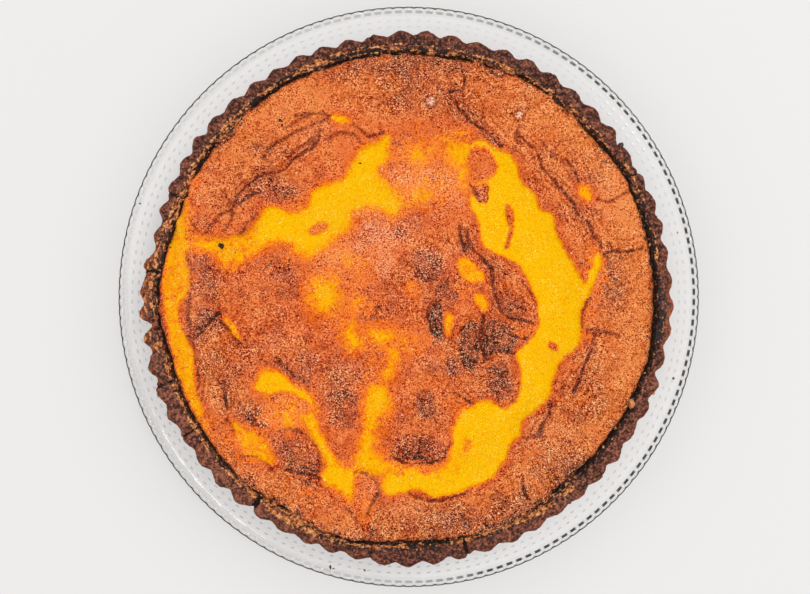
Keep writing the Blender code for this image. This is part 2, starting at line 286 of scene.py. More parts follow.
# Scorched blisters and patches with a clear edge: how dark, how softly they end in mm, and their outline
SCORCHED = (
    (0.85, 0.6, ((14, -2), (18, -3), (20, -9), (20, -17), (18, -22), (15, -22), (12.5, -16), (12, -8))),
    (0.6, 1.2, ((14.5, -13), (17, -12), (19, -17), (18.5, -21), (16, -21.5), (14, -18))),
    (0.13, 0.8, ((45, 8), (50, 13), (57, 12), (62, 6), (64, -2), (64, -9), (58, -10), (52, -9), (47, -2))),
    (0.3, 0.9, ((48, 3), (53, 4), (59, 3), (63, 0), (64, -6), (61, -10), (55, -9), (51, -6), (48, -2))),
    (0.68, 0.6, ((42, -12), (48, -11), (54, -14), (57, -18), (58, -24), (56, -29), (49, -28), (42, -31),
        (40, -26), (39.5, -19))),
    (0.35, 1.4, ((41, -20), (47, -19), (48, -25), (46, -28), (42, -29))),
    (0.3, 1.2, ((50, -14), (53, -15), (53, -20), (50, -20))),
    (0.7, 0.7, ((29, -14), (34, -12), (39, -15), (38, -22), (39, -29), (37, -36), (34, -40), (30, -36),
        (27, -28), (27, -20))),
    (0.88, 0.8, ((28, -29), (32, -30), (36, -34), (35, -39), (33, -39), (29, -34))),
    (0.46, 0.8, ((42, -40), (44, -35), (50, -34), (55, -36), (56, -44), (56, -52), (51, -56), (47, -52),
        (42, -48))),
    (0.35, 1.4, ((48, -38), (53, -38), (54, -45), (52, -50), (48, -48))),
    (0.45, 1.2, ((20, -32), (25, -31), (27, -36), (26, -41), (22, -42), (20, -38))),
    (0.5, 1.4, ((6, -48), (12, -48), (15, -54), (14, -61), (10, -65), (6, -60), (4, -54))),
    (0.4, 1.2, ((13, 4), (18, 9), (26, 9), (28, 4), (26, -3), (20, -6), (15, -4))),
    (0.25, 1.2, ((20, 7), (25, 8), (27, 4), (24, 1), (20, 2))),
    (0.38, 0.9, ((-78, 56), (-72, 60), (-64, 61), (-58, 59), (-56, 54), (-57, 48), (-61, 47), (-66, 51),
        (-73, 51), (-78, 53))),
    (0.25, 1.5, ((-72, 57), (-66, 59), (-60, 57), (-61, 53), (-68, 53))),
    (0.24, 1.2, ((-50, 68), (-46, 70), (-42, 68), (-42, 64), (-46, 63), (-50, 64))),
    (0.2, 1.4, ((-70, 21), (-62, 22), (-59, 14), (-57, 6), (-58, 0), (-64, -2), (-68, 2), (-69, 12))),
    (0.14, 1.8, ((-68, 20), (-63, 20), (-61, 13), (-63, 8), (-67, 10))),
    (0.18, 1.6, ((-20, 40), (-13, 40), (-12, 33), (-19, 32))),
    (0.18, 1.2, ((-24, 30), (-19, 31), (-16, 26), (-19, 21), (-23, 24))),
    (0.16, 1.5, ((-38, 19), (-30, 21), (-28, 15), (-35, 13))),
    (0.22, 1.6, ((-9, 37), (0, 38), (2, 32), (-6, 29))),
    (0.14, 1.8, ((-30, 4), (-24, 7), (-16, 9), (-8, 13), (0, 14), (4, 8), (2, 0), (-4, -8), (-14, -12),
        (-24, -9), (-30, -3))),
    (0.16, 1.8, ((-15, 11), (-5, 13), (0, 7), (-5, 1), (-14, 2))),
    (0.26, 1.4, ((-18, -3), (-10, -3), (-6, -8), (-10, -12), (-17, -10))),
    (0.12, 1.6, ((-70, -30), (-60, -29), (-50, -30), (-46, -36), (-48, -43), (-54, -45), (-62, -43),
        (-68, -37))),
    (0.2, 1.4, ((-72, -11), (-68, -11), (-68, -21), (-71, -22))),
    (0.28, 1.6, ((-42, -40), (-34, -39), (-29, -44), (-31, -50), (-38, -51), (-42, -46))),
    (0.3, 1.4, ((-31, -40), (-25, -38), (-21, -42), (-24, -46), (-30, -46))),
    (0.32, 0.9, ((-43, -50), (-36, -49), (-28, -48), (-25, -50), (-24.5, -58), (-26, -66), (-30, -70),
        (-38, -70), (-42, -64), (-41, -57))),
    (0.2, 1.6, ((-39, -50), (-32, -50), (-27, -55), (-30, -58), (-37, -57))),
    (0.04, 1.4, ((-36, -72), (-30, -71), (-28, -78), (-29, -86), (-35, -87), (-36, -80))),
    (0.55, 2, ((-85, -60), (-79, -58), (-73, -61), (-73, -69), (-79, -73), (-85, -69))),
    (0.3, 1, ((-73, -51), (-68, -51), (-67, -56), (-72, -56))),
    (0.18, 1, ((-68, -78), (-62, -74), (-55, -74), (-49, -79), (-45, -86), (-46, -93), (-54, -93),
        (-62, -91), (-68, -88))),
    (0.24, 1.8, ((-65, -79), (-59, -78), (-57, -86), (-62, -90), (-66, -86))),
    (0.12, 1.4, ((-8, -52), (-2, -50), (4, -52), (4, -64), (-1, -70), (-7, -66))),
    (0.36, 1.2, ((-8, -77), (-2, -73), (6, -72), (14, -73), (20, -77), (23, -83), (18, -88), (8, -89),
        (-2, -88), (-8, -84))),
    (0.28, 1.2, ((-4, -77), (0, -76), (2, -82), (-1, -86), (-4, -83))),
    (0.25, 1.6, ((1, -77), (10, -76), (17, -79), (16, -85), (6, -86), (1, -84))),
    (0.26, 1.4, ((18, 67), (22, 68), (24, 64), (22, 61), (18, 62))),
    (0.18, 1.6, ((2, 47), (8, 46), (10, 38), (8, 32), (3, 34))),
    (0.5, 1.2, ((2, 20), (5, 25), (12, 28), (18, 25), (20, 17), (18, 10), (12, 8), (6, 10))),
    (0.16, 0.9, ((27, 40), (31, 39), (34, 42), (37, 38), (37, 30), (35, 25), (31, 24), (28, 29))),
    (0.14, 1, ((44, 21), (50, 22), (55, 20), (54, 13), (48, 11), (45, 15))),
    (0.28, 1, ((36, 91), (42, 90), (48, 86), (52, 80), (47, 80), (40, 84))),
    (0.3, 0.8, ((34, 61), (38, 59), (43, 61), (44, 56), (42, 51), (37, 55))),
    (0.55, 1.2, ((-111, -4), (-106, -3), (-103, -8), (-107, -14), (-110, -21), (-113, -20), (-111, -12))),
    (0.25, 1.6, ((-106, -4), (-99, -8), (-95, -16), (-98, -22), (-104, -18))),
    (0.4, 1, ((-99, -45), (-96, -44), (-94, -52), (-95, -58), (-98, -56))),
    (0.3, 1.4, ((-109, 25), (-103, 24), (-100, 14), (-101, 5), (-106, 6), (-108, 15))),
    (0.14, 1, ((85, 52), (89, 53), (92, 47), (90, 42), (86, 45))),
    (0.07, 2, ((48, 86), (60, 83), (68, 76), (72, 67), (81, 59), (90, 50), (94, 42), (101, 33), (106, 24),
        (103, 14), (95, 10), (88, 26), (79, 40), (72, 50), (63, 62), (58, 74))),
    (0.04, 2, ((92, -8), (98, -16), (101, -30), (96, -44), (88, -54), (80, -52), (80, -38), (90, -30))),
)

# Browned places that fade out: the strength is how dark they are, and below 0 lighter
BROWNED = (
    (-80, -64, 7, 7, 0.2), (-88, -56, 6, 6, 0.12), (20, 123, 18, 3, 0.22, -8), (-78, 97, 9, 5, -0.08, 50),
    (-103, 3, 11, 3, 0.26, 95), (-107, -13, 7, 2.5, 0.34, 57), (-60, -82, 8, 8, 0.16),
    (-55, -35, 9, 7, 0.12), (34, -33, 5, 5, 0.12), (-35, -58, 5, 8, 0.12), (20, -115, 12, 5, 0.15),
    (100, -55, 7, 9, 0.12, -30), (108, -20, 7, 9, -0.1), (112, 15, 7, 9, 0.1), (10, -55, 6, 7, -0.1),
    (56, -5, 8, 4, 0.2, -30), (-95, -70, 6, 9, -0.12, 35), (-114, 52, 4, 8, 0.25, -25),
    (102, 74, 5, 7, 0.22, 35), (4, -112, 7, 3, 0.12), (56, -110, 7, 3, 0.12, 25), (86, -98, 8, 5, 0.5, 42),
    (16, -22, 4, 4, 0.3), (40, -36, 7, 6, 0.22), (12, -62, 7, 6, 0.22), (74, -86, 12, 8, 0.12, 20),
    (-46, 94, 12, 7, -0.25), (-18, -84, 6, 8, -0.15), (85, 32, 3, 16, -0.2, 25), (-107, 6, 3, 12, 0.2),
    (60, 78, 3, 10, -0.15, 30), (-32, 76, 9, 4, -0.2, 60), (-24, 86, 8, 4, -0.15, 20), (2, -45, 5, 6, -0.1),
    (-68, 15, 6, 6, 0.36), (-40, -38, 20, 5, 0.15), (41, 70, 7, 6, -0.25), (-75, -92, 9, 4, 0.15, -45),
    (80, -86, 10, 6, 0.12), (102, -52, 6, 9, 0.1), (-20, 26, 12, 9, -0.12), (20, -38, 7, 5, 0.22),
    (12, -5, 3, 8, 0.2), (-65, 15, 6, 5, 0.16), (-32, -14, 18, 11, -0.12), (-92, -50, 5, 9, 0.2),
    (106, 14, 5, 9, 0.12), (50, -12, 5, 4, 0.15), (33, -121, 8, 3, 0.3, 5), (64, 105, 5, 10, 0.16, -20),
    (76, 79, 9, 4, 0.16, -45), (-50, -101, 5, 8, 0.16, 30), (-80, -99, 8, 4, 0.42, -45),
    (-50, -79, 9, 5, -0.2, -45), (-3, -48, 4, 6, -0.15), (6, 108, 9, 6, 0.14), (-30, -75, 5, 8, -0.1),
    (-62, -112, 9, 4, 0.15, -28), (106, -27, 5, 8, 0.1), (-45, 112, 22, 9, -0.22, -20),
    (115, 55, 8, 10, -0.4), (0, 92, 28, 5, -0.24), (-38, 72, 20, 6, -0.2, 40), (110, 42, 14, 10, -0.1),
    (27, 46, 6, 8, -0.5), (-60, 0, 6, 22, -0.12), (94, -14, 6, 12, -0.12), (80, -42, 6, 16, -0.1, -30),
    (22, -106, 24, 4, -0.2), (106, -56, 6, 6, -0.1), (0, 8, 6, 6, -0.1), (8, 15, 6, 6, 0.35),
    (-82, -64, 5, 5, 0.25), (-18, -8, 8, 4, 0.2, -20), (-108, -18, 5, 8, 0.25), (-105, 10, 5, 9, 0.15),
    (110, 4, 5, 12, 0.12), (106, -58, 7, 7, 0.15), (96, 60, 6, 5, 0.15), (32, 98, 9, 5, 0.4, -45),
    (84, -93, 8, 5, 0.3, 40), (60, -106, 8, 5, 0.15), (40, -31, 12, 7, 0.12), (12, -62, 6, 5, 0.2),
    (50, -40, 8, 10, 0.1), (-88, 56, 12, 5, 0.2, 35), (-78, 63, 10, 4, 0.22, 30), (-94, 40, 10, 8, -0.1),
    (-55, 80, 10, 4, 0.08, 35), (-77, 80, 6, 5, 0.3), (-88, 17, 8, 5, 0.2), (-72, -18, 9, 10, 0.15),
    (-52, -91, 7, 3.5, 0.35), (-24, -108, 5, 8, 0.15), (-21, -121, 4, 7, 0.45), (60, -111, 10, 5, 0.15, 20),
    (-38, -38, 10, 5, 0.1), (96, 38, 4, 11, 0.15, 20), (97, -40, 6, 13, 0.12, 20), (96, -28, 3, 8, 0.12),
    (78, -60, 4, 7, 0.08), (106, 8, 7, 18, 0.15), (80, -94, 14, 6, 0.28, 35), (82, -83, 12, 5, 0.22),
    (12, -123, 30, 4, 0.4), (28, -114, 30, 6, 0.26, 5), (44, -113, 26, 6, 0.2, 22),
    (-25, 123, 18, 5, 0.4, 12), (8, 123, 18, 5, 0.42, -4), (-6, -87, 10, 4, 0.2), (22, 10, 9, 6, 0.3),
    (-98, 80, 7, 5, 0.35, 40), (102, 10, 5, 10, 0.15), (60, -112, 9, 4, 0.2, 25),
    (-48, -118, 20, 5, 0.15, -22), (0, 109, 24, 10, 0.3), (-12, 123, 26, 5, 0.2),
    (-56, -101, 9, 4, 0.25, -10), (-100, -48, 5, 13, 0.18), (-68, -2, 9, 8, 0.08), (-35, -30, 9, 5, 0.1),
    (62, 4, 4, 12, -0.15, 25), (88, -45, 6, 10, 0.08), (-44, -85, 4, 8, 0.1, 30), (-90, -33, 13, 8, 0.3),
    (95, -62, 14, 5, 0.2, 60), (66, -14, 4, 6, 0.15), (-104, -34, 5, 10, 0.2),
)

# Pale, floury places
PALE = (
    (-15, 36, 14, 11, 0.7), (3, 64, 11, 10, 1), (21, 62, 11, 9, 0.8), (-36, 21, 11, 8, 0.8),
    (10, 22, 8, 6, 0.4), (-20, 46, 14, 6, 0.7), (-45, 36, 9, 5, 0.6), (-48, 10, 7, 6, 0.5),
    (-19, -101, 6, 8, 0.4), (-115, 18, 6, 28, 0.45, 8), (-122, -20, 4, 16, 0.3), (-50, 86, 10, 5, 0.25, 30),
    (76, -30, 6, 5, 0.4), (-12, 18, 5, 5, 0.8), (-30, 36, 7, 8, 0.3), (-28, 27, 12, 8, 0.5),
    (-28, -37, 6, 3, 0.5), (12, -35, 5, 3, 0.5), (-68, -22, 6, 5, 0.3), (-108, 50, 9, 12, 0.2),
    (75, -75, 22, 8, 0.2, -20), (105, 60, 10, 14, 0.2), (-4, -112, 14, 5, 0.25), (60, 112, 14, 6, 0.2, -30),
    (-65, -61, 8, 6, 0.7), (22, 25, 8, 5, 0.3),
)

# Round pale marks: x, y and radius
ROUND_MARKS = ((12.6, 103.8, 2.6), (59.2, 96.4, 2.3))

# Folds of the skin: width mm, height mm (grooves are negative), how dark (their browning and painted shade),
# and the line
FOLDS = (
    (3.2, -0.9, 0.45, ((-93, 47), (-88, 56), (-82, 62), (-75, 66), (-68, 66), (-64, 70), (-60, 74),
        (-52, 78), (-47, 83), (-46, 89))),
    (2.4, -0.6, 0.35, ((-76, 74), (-72, 79), (-65, 84), (-58, 88), (-50, 92), (-41, 95))),
    (2, -0.4, 0.25, ((-65, 90), (-60, 91), (-57, 95), (-51, 97))),
    (2.2, -0.5, 0.3, ((-97, 56), (-94, 51), (-90, 49), (-83, 54), (-78, 56))),
    (2.4, -0.6, 0.3, ((-115, 40), (-111, 35), (-106, 34), (-102, 40), (-99, 45), (-92, 47))),
    (1.8, -0.4, 0.28, ((-97, 35), (-93, 41), (-92, 46))),
    (2.6, 0.6, 0.3, ((-89, 33), (-84, 38), (-80, 44))),
    (2.2, -0.6, 0.45, ((59, 85), (66, 80), (70, 74), (72, 68), (78, 63), (82, 57), (88, 51), (90, 44))),
    (1.8, -0.5, 0.45, ((85, 73), (89, 67), (91, 60))),
    (2.2, -0.6, 0.5, ((95, 41), (99, 33), (103, 27))),
    (3.6, -0.7, 0.5, ((22, 109), (26, 103), (30, 97), (36, 92), (43, 88), (50, 80))),
    (2.4, -0.5, 0.4, ((30, 117), (30, 110), (22, 110))),
    (2.8, -0.9, 0.55, ((27.5, 37), (28, 33), (30, 29), (36, 25), (42, 20), (45, 12), (46, 4), (49, -5),
        (52, -9), (58, -11), (68, -13))),
    (1.4, -0.8, 0.75, ((41, -10), (39.5, -15), (38.8, -22), (40, -28), (42, -32))),
    (1.4, -0.5, 0.45, ((48, -27), (55, -29), (60, -29))),
    (2.4, -0.7, 0.45, ((99, -17), (97, -28), (93, -40), (88, -50))),
    (1.6, -0.5, 0.5, ((-63, -91), (-56, -92), (-50, -94), (-44, -96))),
    (1.8, -0.5, 0.45, ((-98, -7), (-104, -12), (-110, -19), (-112, -22))),
    (1.4, -0.5, 0.5, ((76, -56), (75, -62), (70, -68))),
    (1.8, -0.5, 0.4, ((60, -73), (64, -75), (70, -73), (72, -68))),
    (1, -0.4, 0.35, ((101, 52), (107, 51), (112, 54), (118, 57))),
    (1, -0.4, 0.4, ((104, 23), (109, 26), (114, 24), (120, 25), (124, 27))),
    (1, -0.5, 0.5, ((61, -96), (62, -102), (65, -107))),
    (1.2, -0.4, 0.4, ((44, 121), (48, 116), (53, 119), (57, 118))),
    (1.2, -0.4, 0.35, ((95, -17), (104, -17), (112, -20))),
    (2, -0.5, 0.22, ((-72, -30), (-64, -36), (-59, -42), (-52, -44))),
    (1.6, -0.5, 0.45, ((-97, -44), (-96, -52), (-94, -58))),
    (1.6, -0.4, 0.4, ((-111, -38), (-110, -45), (-111, -49))),
    (1.4, -0.4, 0.35, ((-118, 34), (-116, 22), (-113, 10), (-116, -6), (-114, -20), (-112, -34))),
    (1.5, -0.4, 0.35, ((-28, 92), (-24, 88), (-20, 86), (-12, 88))),
    (1.6, -0.4, 0.35, ((-24, -116), (-20, -113), (-18, -107), (-15, -104))),
    (1.4, -0.3, 0.3, ((-34, -110), (-28, -114), (-26, -120))),
    (1.6, -0.5, 0.4, ((0, -101), (4, -105), (12, -107), (22, -106), (32, -102))),
    (1.6, -0.5, 0.4, ((26, -50), (35, -57), (44, -55), (50, -58), (58, -55))),
    (1.4, -0.4, 0.4, ((-8, -84), (0, -88), (12, -88), (20, -84))),
    (1.4, 0.4, 0.3, ((-44, 83), (-39, 87), (-32, 88), (-27, 86), (-25, 82))),
    (1.4, 0.4, 0.25, ((-64, 76), (-58, 79), (-53, 81), (-50, 84))),
    (1.2, -0.4, 0.35, ((-59, 97), (-52, 97.5), (-45, 97), (-40, 96))),
    (1.2, -0.4, 0.3, ((58, 90), (57, 85), (60, 81))),
    (1.2, -0.4, 0.4, ((64, -74), (70, -70), (75, -62), (75, -56))),
    (1.3, -0.5, 0.5, ((-99, -12), (-94, -17), (-91, -21), (-88, -23))),
    (1.4, -0.4, 0.35, ((-88, -83), (-81, -83), (-75, -87), (-71, -91))),
    (1.2, 0.4, 0.3, ((-68, -70), (-62, -69), (-57, -70), (-52, -75), (-47, -80), (-45, -88))),
    (1.2, -0.4, 0.3, ((-96, -64), (-92, -68), (-90, -73))),
    (1.2, 0.4, 0.3, ((-30, -94), (-26, -92), (-19, -94), (-14, -99), (-15, -104), (-19, -112),
        (-22, -116))),
    (1.2, -0.4, 0.4, ((12, -3), (11, -8), (12, -14), (14, -20))),
    (1.2, -0.3, 0.4, ((61, 8), (64, 5), (66, 2), (69, 0))),
    (1.2, -0.4, 0.4, ((57, -20), (60, -22), (64, -21))),
    (1.2, -0.4, 0.45, ((40, 20), (43, 18), (45, 14), (46, 10))),
    (1, -0.4, 0.5, ((28, 39), (28, 34), (29, 30), (31, 25))),
    (1, -0.4, 0.5, ((31, 37), (32, 32), (34, 28))),
    (1, -0.3, 0.35, ((34, 61), (36, 57), (40, 52))),
    (1, -0.3, 0.35, ((43, 61), (44, 57), (43, 52))),
    (1, 0.3, 0, ((51, 51), (53, 47), (55, 43), (55, 37), (55, 32), (52, 27))),
    (1.6, -0.4, 0.35, ((88, -26), (93, -16), (92, -8), (97, 0))),
)

# Black bits that lie on the top: x, y and size in mm
TOP_BITS = (
    (-98.9, 28, 1.15), (-97.9, 27.2, 1.1), (-25, 71.8, 0.55), (-67, 94, 0.65), (-66, 91.2, 0.7),
    (-91, 24, 0.4), (96, -60, 0.5), (94.3, -60, 0.35), (12, 100, 0.5),
)


# ---- meshes --------------------------------------------------------------------------------------

def object_from(name, points, faces, material, replaces=(), attributes=None, uv=None):
    """A shaded piece that rides on the pie. points are mm over the table; faces are triangles or quads."""
    mesh = bpy.data.meshes.new(name)
    mesh.from_pydata((np.asarray(points) * MM).tolist(), [], faces)
    for label, values in (attributes or {}).items():
        layer = mesh.attributes.new(label, "FLOAT", "POINT")
        layer.data.foreach_set("value", np.asarray(values, np.float32))
    if uv is not None:
        corners = np.empty(len(mesh.loops), np.int32)
        mesh.loops.foreach_get("vertex_index", corners)
        layer = mesh.uv_layers.new(name="OFBake")
        layer.data.foreach_set("uv", np.asarray(uv, np.float32)[corners].ravel())
    mesh.shade_smooth()
    mesh.materials.append(material)
    mesh.validate()
    piece = bpy.data.objects.new(name, mesh)
    bpy.context.scene.collection.objects.link(piece)
    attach(piece, "root")
    for node in replaces:
        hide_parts(node)
    return piece


def strip(lower, upper):
    """Quads between two closed rings of point numbers."""
    return np.stack([lower, np.roll(lower, -1), np.roll(upper, -1), upper], axis=1)


def cap(loop, hub, upwards):
    """Triangles that close a ring of point numbers about one middle point."""
    after = np.roll(loop, -1)
    middle = np.full(len(loop), hub)
    return np.stack([middle, loop, after] if upwards else [middle, after, loop], axis=1)


def turned_faces(rings, columns):
    """Faces of a body of closed rings of points, capped at the first and last about two further points."""
    numbers = np.arange(rings * columns).reshape(rings, columns)
    faces = []
    for lower, upper in zip(numbers, numbers[1:]):
        faces += strip(lower, upper).tolist()
    faces += cap(numbers[0], rings * columns, upwards=False).tolist()
    faces += cap(numbers[-1], rings * columns + 1, upwards=True).tolist()
    return faces


# ---- the crevice between the filling and the crust -----------------------------------------------

# Round the pie: angle, where the skin ends, the crevice's half width, how far out over the rim the custard
# boiled over, how much of it stuck there, how dark a line borders it, and how far out the rim is burnt. The
# three places are measured outwards from CREVICE_RADIUS.
CREVICE_RADIUS = 130.0
CREVICE = (
    (0, 0.3, 0.9, 4, 0.15, 0.1, 4), (10, 0.4, 0.9, 4.5, 0.2, 0.1, 3.4), (20, 1.3, 0.8, 5, 0.35, 0.2, 4.2),
    (27, 1.8, 0.8, 6.5, 0.5, 0.3, 4.6), (35, 0.8, 0.8, 4.4, 0.3, 0.2, 3),
    (42, -0.6, 0.9, 3.4, 0.35, 0.2, 1.6), (48, 0, 0.6, 3, 0.7, 0.4, 1.4), (55, 1, 0.6, 3.6, 0.6, 0.4, 2.4),
    (62, 1.2, 0.4, 3.2, 0.5, 0.4, 2.6), (70, 0.2, 0.4, 3.2, 0.8, 0.5, 1),
    (80, -1.4, 0.9, 3.6, 0.55, 0.6, 1.8), (88, -1.6, 0.9, 3.8, 0.5, 0.6, 2),
    (95, -1, 0.8, 4.4, 0.5, 0.6, 2.4), (102, -0.8, 0.7, 4.6, 0.4, 0.6, 3.4),
    (110, -1, 0.6, 4.4, 0.65, 0.6, 2.6), (120, -0.6, 0.7, 3.8, 0.35, 0.5, 3.4),
    (128, -0.6, 0.7, 3.2, 0.45, 0.5, 2.8), (135, -1.6, 0.6, 2.6, 0.95, 0.5, 0.6),
    (142, -1.2, 0.8, 2.6, 0.5, 0.5, 1.8), (150, -1, 0.8, 3.4, 0.55, 0.4, 1.8),
    (157, -1.8, 0.6, 2.2, 0.6, 0.4, 1), (165, -1.4, 0.6, 4, 0.55, 0.3, 1),
    (171, -0.2, 0.7, 8, 0.52, 0.2, 1.8), (177, 0.8, 0.7, 11.5, 0.5, 0.2, 2),
    (183, 1.6, 0.6, 11.5, 0.36, 0.2, 3), (188, 0, 0.8, 11, 0.36, 0.2, 1.4),
    (193, -1.4, 0.7, 3, 0.4, 0.2, 0), (200, -1.1, 0.7, 2, 0.65, 0.3, 0.2),
    (208, -1.5, 0.7, 1.8, 0.65, 0.3, -0.2), (218, -1, 0.6, 2.4, 0.62, 0.3, 0.2),
    (225, -0.2, 0.6, 2.8, 0.62, 0.3, 0.8), (233, -0.7, 0.6, 2.8, 0.6, 0.3, 0.4),
    (243, -1.8, 0.6, 4.8, 0.9, 0.6, -0.2), (250, 0.4, 0.5, 4.8, 0.6, 0.7, 2),
    (256, 2, 0.5, 4.4, 0.8, 0.7, 3.2), (262, 0.6, 0.6, 3.6, 0.6, 0.6, 2.4),
    (268, -1.6, 0.8, 3, 0.5, 0.5, 1.6), (276, -1.4, 0.8, 2.6, 0.4, 0.5, 1.8),
    (284, -0.6, 0.6, 3, 0.8, 0.8, 0.8), (293, -0.2, 0.6, 2.6, 0.8, 0.9, 1.2),
    (300, 0.2, 0.6, 4, 0.9, 0.9, 1.4), (306, -1.2, 0.7, 4.8, 0.7, 0.9, 1),
    (312, -3.2, 1.6, 4.2, 0.4, 0.6, 2.6), (319, -1.4, 1, 3.2, 0.5, 0.3, 1.8),
    (325, -1, 1, 3.6, 0.3, 0.2, 3), (332, 0, 1, 3, 0.1, 0.1, 2.8), (338, 0, 1, 3.2, 0.15, 0.1, 3),
    (344, 1, 0.9, 3.6, 0.1, 0.1, 3.6), (351, 0.5, 1, 6, 0.15, 0.1, 6.4), (356, 0.7, 1, 7, 0.25, 0.1, 6.4),
)
CREVICE_DEPTH = 4.6


def crevice(angle):
    """The crevice's middle and the columns of CREVICE after the skin's end, at these angles and a little
    uneven, and how far it stands open: 1, or about 0 where the boiled-over custard closed it."""
    table = np.array(CREVICE, float)
    degrees = np.degrees(angle) % 360.0
    columns = (np.interp(degrees, table[:, 0], column, period=360.0) for column in table[:, 1:].T)
    skin_end, half, reach, amount, border, burnt_to = columns
    circle = on_circle(angle, CREVICE_RADIUS)
    half = half * (0.9 + 0.7 * fractal(circle, 4.5, 2, 113))
    middle = CREVICE_RADIUS + skin_end + half + 0.8 * fractal(circle, 6.0, 4, 111)
    reach = CREVICE_RADIUS + reach + 0.9 * fractal(circle, 6.0, 4, 114)
    burnt_to = CREVICE_RADIUS + burnt_to + 0.9 * fractal(circle, 6.0, 4, 117)
    closed = smooth(0.5, 0.8, amount + 0.45 * fractal(circle, 8.0, 3, 118))
    return middle, half, reach, amount, border, burnt_to, 1.0 - 0.92 * closed


# ---- the filling ---------------------------------------------------------------------------------

FILLING_CELLS = 296  # cells across the top's square grid, which is bent into a disc
SHOULDER_DEPTH = 1.4  # the puffed ring along the crust, under the rim's level, as the solid's
CENTRE_DEPTH = 6.8
SLOPE_INNER, SLOPE_OUTER = 76.0, 106.0
DOME_MIDDLE, DOME_WIDTH, DOME_RISE = (6.0, -14.0), 46.0, 2.2  # the swollen middle
GRID_RADIUS = 130.0  # of the disc before its border is drawn to the crevice
GRID_KEPT = 105.0  # the radius from which it is drawn
FOOT_WALL_RADIUS, BASE_THICKNESS = 126.0, 4.5  # the crust's, where the filling stands in it
SKIN_THICKNESS = 0.9
LIP_RISE = 0.35  # of the skin's lifted lip along a tear
ISLAND_REACH, SCORCH_REACH = 6.0, 4.0  # mm past an outline, as far as its fade can run
FOLD_REACH = 3.0  # mm to either side of a fold's line over which its mark of painted shade fades
FOLD_RELIEF = 1.4  # how much the folds' heights are stressed
MARKED_FOLD = 0.4  # how dark a fold is that has wrinkles along it
WRINKLE_REACH = 10.0  # mm to either side of a marked fold over which the wrinkles' light and shade are painted
WRINKLE_PITCH = 2.0  # radians a mm, across the wrinkles

# The top's attributes that its material reads, with their values on the hidden side
TOP_LOOKS = dict(tear=-0.3, halo=0.2, brown=0.1, pale=0.0, red=0.3, char_and_shade=0.0, fold_shade=0.0, beside=0.0)

# Blisters and dents: spots whose strength is a height
BLISTERS = (
    (56, 6, 13, 10, 2.4, -40), (47, -20, 12, 11, 2), (50, -44, 9, 12, 1.8), (33, -30, 7, 12, 1.2, 15),
    (15.5, -13, 4.5, 11, 1.6, 12), (10, -79, 16, 10, 1.4), (-36, -56, 11, 15, 1.1),
    (-100, 40, 10, 9, 1.6, 30), (-88, 42, 7, 11, 1.4, -30), (-103, 2, 11, 18, 1.4, 10),
    (-62, -84, 14, 9, 1.3, -20), (68, -66, 9, 8, 1.6, 20), (-58, 66, 14, 7, 1.2, 20),
    (-55, 84, 16, 5, 1, 35), (-70, 78, 9, 6, 0.9, 35), (38, 70, 7, 9, 0.8), (88, 38, 6, 16, 0.9, 25),
    (-20, 2, 20, 12, 0.8), (-75, -10, 22, 18, 0.7), (12, 18, 14, 14, 0.8), (-30, 92, 12, 6, 0.9, -20),
    (66, -14, 6, 6, 0.9), (40, -5, 5, 5, 0.5), (-85, -64, 10, 9, 0.8), (10, -55, 12, 12, 0.6),
    (27, 104, 8, 8, 0.7), (98, -38, 5, 14, -0.8, 20),
)


def disc_grid(cells, radius):
    """A square grid of points bent into a disc with nearly even cells (Shirley and Chiu's map)."""
    side = np.linspace(-1.0, 1.0, cells + 1)
    a, b = np.meshgrid(side, side, indexing="xy")
    wide = np.abs(a) > np.abs(b)
    r = np.where(wide, a, b)
    with np.errstate(divide="ignore", invalid="ignore"):
        turn = np.where(wide, math.pi / 4 * b / a, math.pi / 2 - math.pi / 4 * a / b)
    turn = np.nan_to_num(turn)
    return np.stack([r * np.cos(turn), r * np.sin(turn)], axis=-1).reshape(-1, 2) * radius


def grid_numbers(cells):
    """The point numbers of a square grid: its quads, and the round of its border, anticlockwise."""
    n = cells + 1
    numbers = np.arange(n * n).reshape(n, n)
    quads = np.stack([numbers[:-1, :-1], numbers[:-1, 1:], numbers[1:, 1:], numbers[1:, :-1]], axis=-1)
    border = np.concatenate([numbers[0, :-1], numbers[:-1, -1], numbers[-1, :0:-1], numbers[:0:-1, 0]])
    return quads.reshape(-1, 4), border


def strayed(xy):
    """The places shifted by fine noise, and by coarse noise too, so that drawn outlines come out ragged."""
    flat = level(xy)
    near = xy + stray(flat, 1.1, 9, 3, 11)
    near += np.c_[noise(flat, 2.4, 13), noise(flat, 2.4, 14)] * 0.6
    return near, near + stray(flat, 4.0, 22, 3, 21) + stray(flat, 1.5, 6, 3, 23)


def tear_mask(near, broad):
    """How far inside the tears each place is, in softness units, and negative outside them."""
    fade = 1.0 + SOFT_FADE * strongest(broad, SOFT_PLACES)
    tear = np.full(len(near), TEAR_DEPTHS[0])
    for yellow, soft, outline in TEARS.values():
        reach = -TEAR_DEPTHS[0] * soft * (1 + SOFT_FADE)
        depth = depth_inside(near, outline, reach) / soft / fade
        tear = np.maximum(tear, np.minimum(depth, np.interp(yellow, TEAR_GOLD, TEAR_DEPTHS)))
    for hidden, soft, outline in ISLANDS.values():
        amount = hidden * smooth(-soft, soft, depth_inside(near, outline, ISLAND_REACH))
        tear -= amount * (tear - TEAR_DEPTHS[1])
    return tear


